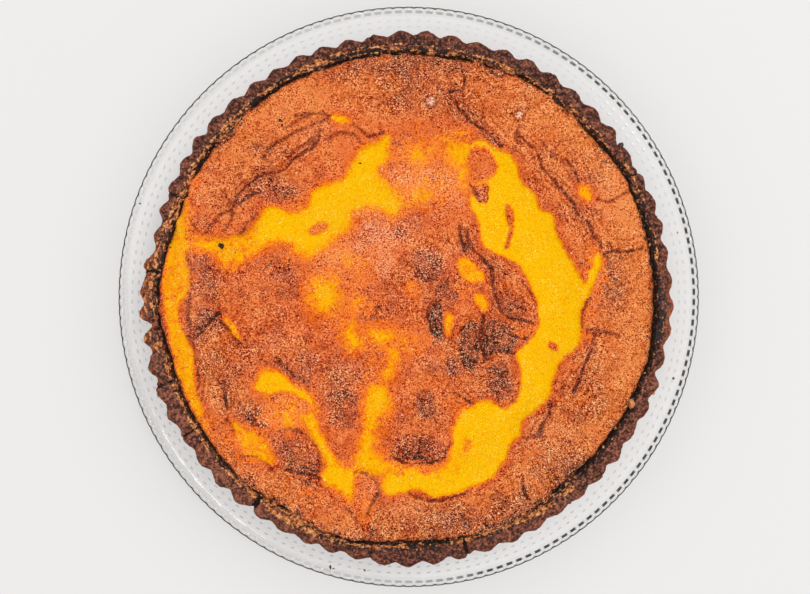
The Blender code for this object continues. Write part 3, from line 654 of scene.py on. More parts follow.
def browning(flat, near, broad):
    """How brown the oven made each place."""
    brown = np.zeros(len(flat))
    for dark, patch in spots(broad, BROWNED):
        brown = layered(brown, dark * patch)
    for dark, soft, outline in SCORCHED:
        brown = layered(brown, dark * smooth(-soft, soft, depth_inside(near, outline, SCORCH_REACH)))
    brown *= 1.0 + 0.4 * fractal(flat, 5, 3, 43)
    # Blotches lie all over it, and the very edge stays pale
    blotch = fractal(flat, 14, 5, 41)
    radius = np.hypot(flat[:, 0], flat[:, 1])
    return brown + 0.10 * smooth(0.0, 0.8, blotch) + 0.05 * blotch - 0.06 * smooth(116, 123, radius)


def folded(near, brown):
    """The folds' marks and how close each place is to a marked one, both 0 to 1, their heights in mm, and
    brown with the folds' own browning."""
    # fold_shade: each fold's mark, painted shade along its line
    fold_shade = np.zeros(len(near))
    beside = np.full(len(near), WRINKLE_REACH)
    relief = np.zeros(len(near))
    for width, height, dark, line in FOLDS:
        distance, _ = from_path(near, rounded(line), False, WRINKLE_REACH)
        beside = np.minimum(beside, distance + WRINKLE_REACH * (dark < MARKED_FOLD))
        distance = np.minimum(distance, FOLD_REACH)
        fold_shade = np.maximum(fold_shade, (0.72 + 0.5 * dark) * (1.0 - distance / FOLD_REACH))
        relief += FOLD_RELIEF * height * (1.0 - smooth(0.0, width, distance))
        brown = layered(brown, 0.3 * dark * (1.0 - smooth(0.0, 2.5, distance)))
    return fold_shade, 1.0 - beside / WRINKLE_REACH, relief, brown


def redness(flat, radius):
    """How red, and not tan, the skin is: more so inwards, less so at the lower right and the right edge."""
    x, y, _ = flat.T
    red = 0.35 + 0.4 * smooth(112, 85, radius) + 0.35 * fractal(flat, 18, 4, 61)
    red -= 0.15 * smooth(0, 100, x - y) + 0.3 * smooth(114, 123, radius) * smooth(20, 90, x)
    return np.clip(red, 0, 1)


def edge_looks(flat, radius):
    """The char and painted shade down the open crevice's side, and the brown stain beside it where custard
    boiled over.
    """
    middle, half, _, amount, *_, opened = crevice(np.arctan2(flat[:, 1], flat[:, 0]))
    jagged = radius + 0.9 * fractal(flat, 4.5, 4, 71)
    char_and_shade = smooth(middle - half - 0.3, middle - half + 0.5, jagged) * opened
    stain = smooth(middle - 5.5, middle - 1.0, radius + 2.2 * fractal(flat, 7, 3, 72))
    stain *= (0.25 + 0.65 * smooth(0.5, 0.9, amount)) * smooth(-0.5, 0.3, fractal(flat, 4, 3, 73))
    return np.clip(char_and_shade, 0, 1), stain


def top_masks(xy):
    """What the oven did to each place of the top, and the shade painted on its folds and in the crevice.
    "tear" runs in softness units from the tears' outlines, negative outside them; "beside" falls from 1 on a
    marked fold to 0 at WRINKLE_REACH; "relief" is a height in mm; "gold", how yellow the place is, and the
    others are about 0 to 1."""
    flat = level(xy)
    radius = np.hypot(*xy.T)
    near, broad = strayed(xy)
    tear = tear_mask(near, broad)
    halo = strongest(broad, HALOS) * (1.0 + 0.5 * fractal(flat, 9, 4, 31))
    gold = np.maximum(np.interp(tear, TEAR_DEPTHS, TEAR_GOLD), halo)
    fold_shade, beside, relief, brown = folded(near, browning(flat, near, broad))
    # Browning and folds end where the custard shows
    brown *= 1.0 - smooth(0.16, 0.45, gold)
    fold_shade *= 1.0 - 0.6 * smooth(0.5, 0.9, gold)
    pale = strongest(broad, PALE)
    for x, y, size in ROUND_MARKS:
        distance = np.hypot(xy[:, 0] - x, xy[:, 1] - y)
        pale = np.maximum(pale, 1.6 * smooth(size + 0.4, size - 0.4, distance))
        # A ring of painted shade round each mark
        fold_shade = np.maximum(fold_shade, 0.85 - np.abs(distance - size - 0.2) / FOLD_REACH)
        brown *= smooth(size - 1.0, size + 0.6, distance)
    char_and_shade, stain = edge_looks(flat, radius)
    brown = np.clip(layered(brown, stain), -0.3, 1)
    return {
        "tear": tear, "halo": halo, "gold": gold, "brown": brown, "pale": pale, "red": redness(flat, radius),
        "char_and_shade": char_and_shade, "fold_shade": fold_shade, "beside": beside, "relief": relief,
    }


def edge_drop(xy, radius):
    """How far the top bends down into the crevice, mm."""
    middle, half, *_, opened = crevice(np.arctan2(xy[:, 1], xy[:, 0]))
    bend = (0.4 + 0.5 * opened) * smooth(middle - 8.0, middle, radius)
    bend += 0.8 * opened * smooth(middle - half - 1.6, middle - half, radius)
    depth = (CREVICE_DEPTH - SHOULDER_DEPTH - 1.7) * opened
    return bend + depth * smooth(middle - half - 0.3, middle - 0.2, radius)


def top_height(xy, masks):
    """Height of the top over the rim's mean level, mm."""
    flat = level(xy)
    radius = np.hypot(*xy.T)
    height = -CENTRE_DEPTH + (CENTRE_DEPTH - SHOULDER_DEPTH) * smooth(SLOPE_INNER, SLOPE_OUTER, radius)
    height += DOME_RISE * bell(np.hypot(*(xy - DOME_MIDDLE).T) / DOME_WIDTH)
    warped = xy + stray(flat, 3.0, 14, 3, 81)
    for rise, patch in spots(warped, BLISTERS):
        height += rise * smooth(0.1, 0.85, patch)
    height += 0.5 * fractal(flat, 30, 3, 83) + 0.30 * fractal(flat, 9, 3, 84)
    gold = masks["gold"]
    torn = smooth(0.42, 0.85, gold)
    skin = masks["relief"] + 0.16 * noise(flat, 3.2, 85) + 0.12 * noise(flat, 1.9, 86)
    custard = 0.18 * noise(flat, 6.0, 87) + 0.07 * noise(flat, 2.4, 88) - SKIN_THICKNESS
    height += LIP_RISE * bell((gold - 0.3) / 0.14) + (1.0 - torn) * skin + torn * custard
    return height - edge_drop(xy, radius)


def make_filling():
    """The custard: its top as a bent grid, and a plain side down the crust's inner face to the base."""
    xy = disc_grid(FILLING_CELLS, GRID_RADIUS)
    quads, border = grid_numbers(FILLING_CELLS)
    border_radius = crevice(np.arctan2(xy[:, 1], xy[:, 0]))[0] - 0.15
    drawn = smooth(GRID_KEPT, GRID_RADIUS, np.hypot(*xy.T))
    xy = xy * (1.0 + (border_radius / GRID_RADIUS - 1.0) * drawn)[:, None]
    masks = top_masks(xy)
    floor = CRUST_FOOT + BASE_THICKNESS + 0.3
    rim_xy = xy[border]
    foot = level(rim_xy * ((FOOT_WALL_RADIUS - 0.4) / np.hypot(*rim_xy.T))[:, None]) + (0, 0, floor)
    points = np.vstack([np.c_[xy, RIM + top_height(xy, masks)], foot, [[0.0, 0.0, floor]]])
    foot_numbers = len(xy) + np.arange(len(border))
    faces = quads.tolist() + strip(foot_numbers, border).tolist()
    faces += cap(foot_numbers, len(points) - 1, upwards=False).tolist()
    hidden = len(points) - len(xy)
    looks = {name: np.append(masks[name], np.full(hidden, side)) for name, side in TOP_LOOKS.items()}
    flat_map = np.vstack([xy, foot[:, :2] * 1.03, [[0, 0]]]) / (2.2 * GRID_RADIUS) + 0.5
    material = filling_material()
    return object_from("filling_top", points, faces, material, ["filling"], looks, flat_map)


# ---- the crust -----------------------------------------------------------------------------------

FLUTES = 62
CRUST_COLUMNS = FLUTES * 24
FLUTE_DEPTH = 2.3
CREST_RADIUS = 140.0
FOOT_TAPER = 7.0
RIM_ROUNDING = 1.9  # radius of the outer edge
LIP_ROUNDING = 1.2  # radius of the edge over the crevice
RIM_SLOPE = 0.35  # how far the rim slopes down from the outer edge to that one
LIP_DROP = 1.5  # how far the surface is down where the crevice starts
FLAKE_LENGTH, FLAKE_WIDTH = 9.0, 2.6  # mm along and across the rim, of the flakes of boiled-over custard
GROOVE_SHADE = 0.34  # how much darker the side is painted between the flutes: painted shade
BROKEN_SIDE, BROKEN_REACH = 182.0, 15.0  # the angle about which the rim is rough and glazed, and how far
STICKY_SIDE, STICKY_REACH, STICKY_SHARE = 356.0, 9.0, 0.8  # and where custard stuck to it

# Places where the rim broke: angle and half width in degrees, how far it is pushed in and down in mm
BREAKS = (
    (186, 1.2, 3, 2.5), (181.5, 1, 0.8, 1.5), (177, 1.6, 0.6, 2), (170, 2, 1, 1.2), (162, 1, 0.8, 0.8),
    (191, 1, 1, 1), (141, 0.8, 0.8, 0.8), (28, 1.2, 0.6, 1), (343, 1, 1.2, 1),
)

# Cracks across the rim: angle, half width and depth in mm
CRACKS = (
    (233.6, 1.1, 4), (283.3, 0.8, 2.8), (211.8, 0.5, 2.2), (156, 0.5, 2), (98, 0.5, 1.5), (57, 0.5, 1.6),
    (318, 0.5, 1.5), (199.5, 0.6, 2.2), (174, 0.8, 2.6), (28.5, 0.6, 2), (262, 0.5, 1.5),
)

# How far the baked rim strays from the solid's outline: angle in degrees, mm
RIM_SHIFT = (
    (0, -0.3), (20, 0.8), (45, 0.2), (55, 0.5), (90, 0.5), (105, 0), (130, 0.1), (150, -0.2), (161, -0.7),
    (168, -1.1), (173, 0.8), (182, 1), (192, 0.5), (205, 0.1), (225, -0.1), (245, 0.5), (262, 0.8),
    (272, 0.3), (285, 0.5), (295, 0.8), (312, 1.1), (330, 0.5), (343, 0.7), (355, 0.4),
)

# How much lighter or darker the pastry is around the pie: angle in degrees, difference
CRUST_TONES = (
    (0, 0.02), (15, -0.06), (60, -0.1), (100, -0.1), (140, 0), (190, 0.1), (235, 0.14), (270, -0.14),
    (305, 0.06), (345, 0.04),
)

# The waves of the outline's radius round the pie: mm, waves a turn, phase
RIM_WANDER = (
    (0.35, 2, -2.15), (0.30, 4, -0.44), (0.28, 5, 1.19), (0.30, 12, 0.51), (0.25, 8, -0.4), (0.28, 16, 0.0),
)
# And those of the rim's height
RIM_LIFT = ((0.55, 2, 0.8), (0.45, 5, 2.1), (0.35, 11, 0.0))


def flute(angle):
    """0 in a valley of the fluted side and 1 on a crest. The tin's flutes drift a little in pitch."""
    drift = np.radians(128.0 - 39.0 * np.cos(angle - math.radians(64.0)))
    late = np.radians(0.6 * bell(turn_apart(angle, 230.0) / 28.0))
    return 0.5 + 0.5 * np.cos(FLUTES * (angle - late) + drift)


def crust_outline(angle):
    """The outline's radius at the rim and the rim's height over the foot, with the broken places."""
    ripple = 1.0 + 0.4 * noise(on_circle(angle, 60), 12, 101)
    outline = CREST_RADIUS - FLUTE_DEPTH * (1 - flute(angle) ** 0.75 * ripple)
    outline += sum(size * np.cos(waves * angle + phase) for size, waves, phase in RIM_WANDER)
    outline += round_the_pie(angle, RIM_SHIFT)
    top = CRUST_HEIGHT + sum(size * np.sin(waves * angle + phase) for size, waves, phase in RIM_LIFT)
    for at, half, push, dip in BREAKS:
        bite = bell(turn_apart(angle, at) / half)
        outline -= push * bite
        top -= dip * bite
    return outline, top


class Rim:
    """The baked crust at these angles: its outline, the crevice, and its broken, sticky and dark places."""

    def __init__(self, angle):
        self.angle = angle
        self.around = np.c_[np.cos(angle), np.sin(angle)]
        self.outline, self.top = crust_outline(angle)
        self.middle, half, self.reach, self.amount, self.border, self.burnt_to, self.opened = crevice(angle)
        self.lip = self.middle + half
        self.seam = self.lip + 1.0 + 0.9 * fractal(on_circle(angle, CREVICE_RADIUS), 7.0, 3, 116)
        self.broken = bell(turn_apart(angle, BROKEN_SIDE) / BROKEN_REACH)
        sticky = STICKY_SHARE * bell(turn_apart(angle, STICKY_SIDE) / STICKY_REACH)
        self.glazed = np.maximum(self.broken, sticky)
        self.tone = round_the_pie(angle, CRUST_TONES)

    def outside(self):
        """The section's rows from the foot up the side and over the outer edge: radius, height over the
        foot, how far the surface faces outwards and upwards, and how crumbly it is."""
        shoulder = self.top - RIM_ROUNDING
        for t in np.linspace(0.0, 1.0, 25):
            taper = FOOT_TAPER * (1.0 - t) + 0.7 * smooth(0.05, 0.0, t)
            yield self.outline - taper, t * shoulder, 1.0, 0.0, 0.35 + 0.45 * smooth(0.8, 1.0, t)
        for t in np.linspace(0.0, math.pi / 2, 9)[1:]:
            out, up = math.cos(t), math.sin(t)
            yield self.outline - RIM_ROUNDING * (1 - out), shoulder + RIM_ROUNDING * up, out, up, 1.0

    def inside(self):
        """Its rows from there across the rim, down the crevice and in to the base."""
        crest = self.outline - RIM_ROUNDING
        for t in np.linspace(0.0, 1.0, 15)[1:]:
            yield crest + (self.lip + LIP_ROUNDING - crest) * t, self.top - RIM_SLOPE * t * t, 0.0, 1.0, 1.0
        for t in np.linspace(0.0, math.pi / 2, 6)[1:]:
            out, up = math.sin(t), math.cos(t)
            drop = RIM_SLOPE + (LIP_DROP - RIM_SLOPE) * (1 - up)
            yield self.lip + LIP_ROUNDING * (1 - out), self.top - drop, -out, up, 1.0
        deep = 0.5 + (CREVICE_DEPTH - LIP_DROP - 0.5) * self.opened
        inner = self.middle - 0.35
        for t in np.linspace(0.0, 1.0, 6)[1:]:
            r = self.lip + (inner - self.lip) * t**0.6
            yield r, self.top - LIP_DROP - deep * t, -1.0, 0.0, 0.5 * (1 - t)
        low = self.top - LIP_DROP - deep
        for t in (0.3, 1.0):
            yield inner + (FOOT_WALL_RADIUS - inner) * t, low + (BASE_THICKNESS - low) * t, -1.0, 0.0, 0.0

    def cracks(self, r, z):
        """How deep the cracks are, mm."""
        gap = np.zeros(len(self.angle))
        for at, width, depth in CRACKS:
            wander = 0.5 * noise(np.c_[r, z, np.full(len(self.angle), at)], 2.5, 105)
            across = np.radians(turn_apart(self.angle, at)) * r + wander
            gap = np.maximum(gap, depth * bell(across / width))
        return gap * smooth(CRUST_HEIGHT - 20.0, CRUST_HEIGHT - 3.0, z)

    def stuck_custard(self, r, z, place, patch):
        """How much custard stuck, 0 to 1."""
        within = smooth(self.reach + 0.5, self.reach - 0.5, r + 0.8 * fractal(place, 3.0, 3, 108))
        return within * smooth(0.95 - self.amount, 1.25 - self.amount, 0.5 + 0.9 * patch)

    def charred_and_shaded(self, jagged, stuck):
        """How black the rim is: burnt towards the crevice, with painted shade down in it where it stands
        open.
        """
        burnt = (0.35 + 0.5 * self.opened) * smooth(self.burnt_to + 0.4, self.burnt_to - 0.8, jagged)
        deep = smooth(self.lip + 0.3, self.lip - 0.3, jagged) * self.opened
        return np.maximum(burnt * (1.0 - 0.9 * stuck), deep)

    def lines(self, r, place, patch):
        """The dark lines along the rim: round the boiled-over custard, and the seam beside the crevice."""
        border = self.border * bell((r - self.reach) / 0.5) * smooth(-0.4, 0.1, patch)
        seam = 0.9 * bell((r - self.seam) / 0.45) * smooth(0.0, 0.3, fractal(place, 6.0, 2, 110))
        return np.maximum(border, seam)

    def baked(self, r, z, out, up, crumbly):
        """A row's points in mm over the table, and its looks."""
        place = np.c_[self.around * r[:, None], z]
        lumps = 0.38 * fractal(place, 6.0, 3, 103) + 0.30 * fractal(place, 2.1, 2, 104)
        lumps = lumps * crumbly * (1.2 + 1.2 * self.broken * (up > 0))
        gap = self.cracks(r, z)
        flakes = np.c_[self.around * CREST_RADIUS / FLAKE_LENGTH, (r + 0.7 * z) / FLAKE_WIDTH]
        patch = 1.1 * fractal(flakes, 1.0, 4, 106) + 0.35 * fractal(place, 1.8, 3, 107)
        stuck = self.stuck_custard(r, z, place, patch) * (out < 0.9)
        r = r + out * (lumps - 0.35 * gap * (out > 0))
        burnt = self.charred_and_shaded(r + 1.1 * fractal(place, 3.0, 3, 109), stuck) * (out < 0.5)
        line = self.lines(r, place, patch) * (up > 0.5)
        z = z + up * (1.15 * lumps - gap + 0.6 * stuck - 0.5 * line)
        # Painted shade between the flutes, carried in "tone" with the pastry's tone round the pie
        grooved = (1.0 - flute(self.angle)) * smooth(CRUST_HEIGHT - 1.0, CRUST_HEIGHT - 5.0, z) * (out > 0)
        # char_and_shade: the burnt rim and dark lines, with painted shade in the cracks and down the open
        # crevice
        return np.c_[self.around * r[:, None], np.maximum(z, 0.0) + CRUST_FOOT], {
            "spill": stuck,
            "char_and_shade": np.maximum(np.maximum(burnt, line), smooth(0.4, 1.6, gap)),
            "rim": smooth(1.3 + 3.0 * self.glazed, 0.2, self.outline - r) * (z > 6),
            "glaze": self.glazed * (up > 0),
            "tone": self.tone - GROOVE_SHADE * grooved,
        }


def make_crust():
    """The pastry: a ring of points for each row of its section, and the base."""
    rim = Rim(2 * math.pi * np.arange(CRUST_COLUMNS) / CRUST_COLUMNS)
    rings, looks = zip(*(rim.baked(*row) for row in (*rim.outside(), *rim.inside())))
    points = np.vstack([*rings, [[0, 0, CRUST_FOOT]], [[0, 0, CRUST_FOOT + BASE_THICKNESS]]])
    faces = turned_faces(len(rings), CRUST_COLUMNS)
    attributes = {name: np.concatenate([look[name] for look in looks] + [[0, 0]]) for name in looks[0]}
    return object_from("crust_shell", points, faces, crust_material(), ["crust"], attributes)


# ---- baked-on bits and crumbs ---------------------------------------------------------------------

CREVICE_BITS = 1100
TAN_SHARE, TAN_GAIN = 0.08, 0.25  # share of tan bits, and how much boiled-over custard adds to it
SMALLEST_BIT, BIT_SPREAD, BIGGEST_BIT = 0.22, 0.18, 0.9  # mm

# Crumbs on the plate: x, y, size, tone from black to tan
PLATE_CRUMBS = (
    (-42.2, -148.3, 0.9, 0.3), (-40.4, -149, 0.5, 0.35), (-23.3, -150, 0.6, 0.4), (146.8, -44.2, 0.7, 0.3),
    (149, 36, 0.4, 0.3), (-147, 52, 0.4, 0.3),
)

# Crumbs and baked-on custard that stick out of the rim: x, y, size, tone
RIM_CRUMBS = (
    (113, 80.5, 1.5, 0.25), (85.6, -107.2, 1.4, 0.3), (138.2, -8, 1, 0.8), (130.2, -50.5, 0.8, 0.85),
    (-137.6, -8, 1.6, 0.75), (-138, -21.5, 1.5, 0.8), (119, -55.5, 1.9, 0.7), (137.6, -3.5, 0.8, 0.8),
)
RIM_CRUMB_DEPTH = 1.5  # under the rim's level


def ball():
    """The points and triangles of a small round body of radius 1."""
    shape = bmesh.new()
    bmesh.ops.create_icosphere(shape, subdivisions=2, radius=1.0)
    points = np.array([corner.co[:] for corner in shape.verts])
    faces = np.array([[corner.index for corner in face.verts] for face in shape.faces])
    shape.free()
    return points, faces


def crumb(points, size, seed, rng):
    """One crumb about the origin: the round body made lumpy, squashed and turned."""
    shape = points * (1.0 + 0.55 * noise(points + seed * 3.1, 0.85, 7))[:, None]
    shape = shape * rng.uniform(0.55, 1.35, 3)
    a, b = rng.uniform(0, 2 * math.pi, 2)
    turn = np.array([[math.cos(a), -math.sin(a), 0], [math.sin(a), math.cos(a), 0], [0, 0, 1]])
    tip = np.array([[1, 0, 0], [0, math.cos(b), -math.sin(b)], [0, math.sin(b), math.cos(b)]])
    return shape @ turn @ tip * size


def crevice_bits(rng):
    """Burnt bits in the crevice and tan ones out over the rim: x, y, height over the table, size, tone."""
    angles = rng.uniform(0, 2 * math.pi, CREVICE_BITS)
    middles, halves, reaches, amounts, *_ = crevice(angles)
    _, tops = crust_outline(angles)
    for angle, middle, half, reach, amount, top in zip(angles, middles, halves, reaches, amounts, tops):
        tan = rng.random() < TAN_SHARE + TAN_GAIN * amount
        if tan:
            r = rng.uniform(middle - 0.4, max(reach, middle + 1.5))
        else:
            r = rng.normal(middle, 0.6 + half)
        size = min(BIGGEST_BIT, SMALLEST_BIT + rng.exponential(BIT_SPREAD))
        inside = smooth(middle + half + 0.8, middle + half - 0.6, r)
        z = CRUST_FOOT + top - 0.3 - 2.1 * inside + 0.25 * size
        tone = rng.uniform(0.5, 1.0) if tan else rng.uniform(0.0, 0.35)
        yield r * math.cos(angle), r * math.sin(angle), z, size, tone


def make_bits():
    """Burnt and tan bits of custard along the crevice, and the few crumbs on the rim and on the plate."""
    rng = np.random.default_rng(5)
    base, base_faces = ball()
    wanted = list(crevice_bits(rng))
    wanted += [(x, y, PLATE_TOP + 0.6 * size, size, tone) for x, y, size, tone in PLATE_CRUMBS]
    wanted += [(x, y, RIM - RIM_CRUMB_DEPTH, size, tone) for x, y, size, tone in RIM_CRUMBS]
    places = np.array(TOP_BITS)[:, :2]
    heights = RIM + top_height(places, top_masks(places))
    wanted += [(x, y, height + 0.2 * size, size, 0.0) for (x, y, size), height in zip(TOP_BITS, heights)]
    points = [crumb(base, size, n, rng) + (x, y, z) for n, (x, y, z, size, _) in enumerate(wanted)]
    faces = np.vstack([base_faces + n * len(base) for n in range(len(wanted))]).tolist()
    looks = {"tone": np.repeat([tone for *_, tone in wanted], len(base))}
    return object_from("baked_bits", np.vstack(points), faces, bits_material(), [], looks)


# ---- the glass plate -----------------------------------------------------------------------------

BEADS = 174
BEAD_COLUMNS = 8  # columns of points to a bead
PLATE_COLUMNS = BEADS * BEAD_COLUMNS
PLATE_TOP = CRUST_FOOT - 0.3
PLATE_OFFSET = (1.0, 0.6)  # the pie does not stand quite in the plate's middle
FOOT_INNER, FOOT_OUTER, FOOT_RISE = 88.0, 97.0, 3.0
WALL_START, WALL_RISE = 148.0, 0.9  # where the plate's underside turns up, and how far it rose to there
EDGE_START, EDGE_DEPTH, EDGE_CURVE = 158.3, 4.0, 3.5  # where its rounded edge starts, and the edge's height
BEAD_RING = 158.25  # radius of the beads' middles
BEAD_HALF_WIDTH, BEAD_HALF_LENGTH, BEAD_HEIGHT = 1.15, 2.75, 0.8
DASH_REFRACTION_EDGE = -0.4  # a bead is painted dark from here inwards, as painted refraction, in half widths from its middle
STUD_ROWS = (152.3, 148.9)  # fainter rows of studs inside the beads
STUD_ACROSS = (1.6, 1.2, 0.6, 0.2, -0.2, -0.6, -1.2, -1.6)  # where a stud's rings of points lie
STUD_HALF_LENGTH, STUD_HALF_WIDTH, STUD_HEIGHT = 1.5, 1.1, 0.03
STUD_REFRACTION_HALF_WIDTH = 0.3  # a stud's painted refraction, a dark line, reaches so far to either side of its middle

# Painted refraction: how dark the beads' inner ends, the studs and the plate's lip are painted, by angle in
# degrees
DASH_REFRACTION_BY_ANGLE = ((0, 1.0), (50, 1.0), (75, 0.7), (100, 0.5), (130, 0.1), (240, 0.1), (265, 0.5), (285, 1.0))
STUD_REFRACTION_BY_ANGLE = ((0, 0.3), (45, 0.15), (90, 0.15), (120, 0.3), (180, 0.45), (240, 0.5), (290, 0.45), (330, 0.35))
LIP_REFRACTION_BY_ANGLE = ((0, 0.7), (60, 0.7), (90, 0.8), (130, 1.0), (190, 1.0), (230, 1.0), (280, 0.9), (320, 0.7))


def oval_bump(along, across):
    """The height, 0 to 1, of an oval bump at these places, in its half length and half width."""
    return np.sqrt(np.clip(1 - along**2 - across**2, 0, 1))


def plate_underside():
    """The plate's section from the middle outwards, with the ring it stands on: radius, height, painted
    refraction darkness.
    """
    yield FOOT_INNER - 6, FOOT_RISE, 0.0
    yield FOOT_INNER - 1.5, FOOT_RISE, 0.0
    yield FOOT_INNER - 0.3, 0.5, 0.0
    yield FOOT_INNER + 0.4, 0.0, 0.0
    yield FOOT_OUTER - 0.4, 0.0, 0.0
    yield FOOT_OUTER + 0.3, 0.5, 0.0
    yield FOOT_OUTER + 1.5, FOOT_RISE, 0.0
    for r in np.linspace(104, 146, 5):
        yield r, FOOT_RISE + WALL_RISE * (r - FOOT_OUTER) / (WALL_START - FOOT_OUTER), 0.0
    for r in (154.0, 157.0):
        yield r, FOOT_RISE + WALL_RISE + 1.5 * ((r - WALL_START) / 10.4) ** 2, 0.0


def plate_edge(offset, lip):
    """Its rows round the edge, which bulges at each bead. offset is the distance to the bead's middle."""
    outer = PLATE_RADIUS - 0.4 + 0.4 * oval_bump(offset / (BEAD_HALF_LENGTH + 0.2), 0.0)
    for t in np.linspace(0, math.pi / 2, 6):
        r = EDGE_START + (outer - EDGE_START) * math.sin(t)
        yield r, PLATE_TOP - EDGE_DEPTH + EDGE_CURVE * (1 - math.cos(t)), 0.0
    # lip: how dark the lip's top edge is painted, as painted refraction
    yield outer - 0.05, PLATE_TOP - 0.3, lip
    yield outer - 0.45, PLATE_TOP - 0.26, lip
    yield outer - 0.65, PLATE_TOP - 0.25, 0.0


def plate_top(offset, dash_painted_refraction, stud_painted_refraction):
    """Its rows over the beads and the studs, with their painted refraction, and in over the flat top."""
    for t in np.linspace(0.0, 1.0, 11):
        across = math.cos(math.pi * t)
        height = BEAD_HEIGHT * oval_bump(offset / BEAD_HALF_LENGTH, across)
        yield BEAD_RING + BEAD_HALF_WIDTH * across, PLATE_TOP - 0.2 + height, dash_painted_refraction * (across < DASH_REFRACTION_EDGE)
    bead_end = BEAD_RING - BEAD_HALF_WIDTH
    yield bead_end - 0.2, PLATE_TOP - 0.1, dash_painted_refraction
    yield bead_end - 0.75, PLATE_TOP, dash_painted_refraction
    yield bead_end - 0.85, PLATE_TOP, 0.0
    for ring, across in itertools.product(STUD_ROWS, STUD_ACROSS):
        bump = STUD_HEIGHT * oval_bump(offset / STUD_HALF_LENGTH, across / STUD_HALF_WIDTH)
        yield ring + across, PLATE_TOP + bump, stud_painted_refraction * smooth(1.5, 0.8, offset) * (abs(across) < STUD_REFRACTION_HALF_WIDTH)
    for r in (146.8, 145, 120):
        yield r, PLATE_TOP, 0.0


def make_plate():
    """The glass plate: a ring of points for each row of its section."""
    column = np.arange(PLATE_COLUMNS)
    angle = 2 * math.pi * column / PLATE_COLUMNS
    offset = np.abs(2.0 * (column % BEAD_COLUMNS) / BEAD_COLUMNS - 1.0) * math.pi * BEAD_RING / BEADS
    # Painted refraction: dark dashes at the beads' inner ends, and lines on the studs and the lip, darker to
    # some sides
    dash_painted_refraction = round_the_pie(angle, DASH_REFRACTION_BY_ANGLE) * smooth(2.3, 1.7, offset)
    lip, stud_painted_refraction = round_the_pie(angle, LIP_REFRACTION_BY_ANGLE), round_the_pie(angle, STUD_REFRACTION_BY_ANGLE)
    around = np.c_[np.cos(angle), np.sin(angle)]
    rings, painted_refractions = [], []
    for row in (*plate_underside(), *plate_edge(offset, lip), *plate_top(offset, dash_painted_refraction, stud_painted_refraction)):
        r, z, painted_refraction = (np.broadcast_to(value, angle.shape) for value in row)
        rings.append(np.c_[around * r[:, None] + PLATE_OFFSET, z])
        painted_refractions.append(painted_refraction)
    points = np.vstack([*rings, [[*PLATE_OFFSET, FOOT_RISE]], [[*PLATE_OFFSET, PLATE_TOP]]])
    faces = turned_faces(len(rings), PLATE_COLUMNS)
    looks = {"painted_refraction": np.concatenate(painted_refractions + [[0, 0]])}
    return object_from("glass_plate", points, faces, glass_material(), ["plate"], looks)


# ---- shaders -------------------------------------------------------------------------------------

def linear(red, green, blue):
    """A screen colour of 0 to 255 a channel as the linear colour that shaders take."""
    def channel(value):
        value /= 255.0
        return value / 12.92 if value <= 0.04045 else ((value + 0.055) / 1.055) ** 2.4
    return (channel(red), channel(green), channel(blue), 1.0)


def screen(red, green, blue):
    """A screen colour of 0 to 255 a channel, scaled to 0 to 1."""
    return (red / 255.0, green / 255.0, blue / 255.0, 1.0)


def grey(lightness):
    """The grey of this linear lightness."""
    return (lightness, lightness, lightness, 1.0)


class Value:
    """A node's output. Sums, differences and products of values make the nodes that work them out."""

    def __init__(self, shader, socket):
        self.shader = shader
        self.socket = socket

    def __add__(self, other):
        return self.shader.math("ADD", self, other)

    def __sub__(self, other):
        return self.shader.math("SUBTRACT", self, other)

    def __rsub__(self, other):
        return self.shader.math("SUBTRACT", other, self)

    def __mul__(self, other):
        return self.shader.math("MULTIPLY", self, other)

    def __abs__(self):
        return self.shader.math("ABSOLUTE", self)

    __radd__ = __add__
    __rmul__ = __mul__

    def at_most(self, other):
        return self.shader.math("MINIMUM", self, other)

    def at_least(self, other):
        return self.shader.math("MAXIMUM", self, other)

    def between(self, low, high, start=0.0, end=1.0):
        """Maps low..high to start..end in an even S, held at both ends."""
        inputs = {"Value": self, "From Min": low, "From Max": high, "To Min": start, "To Max": end}
        return self.shader.node("MapRange", inputs, "Result", interpolation_type="SMOOTHSTEP")


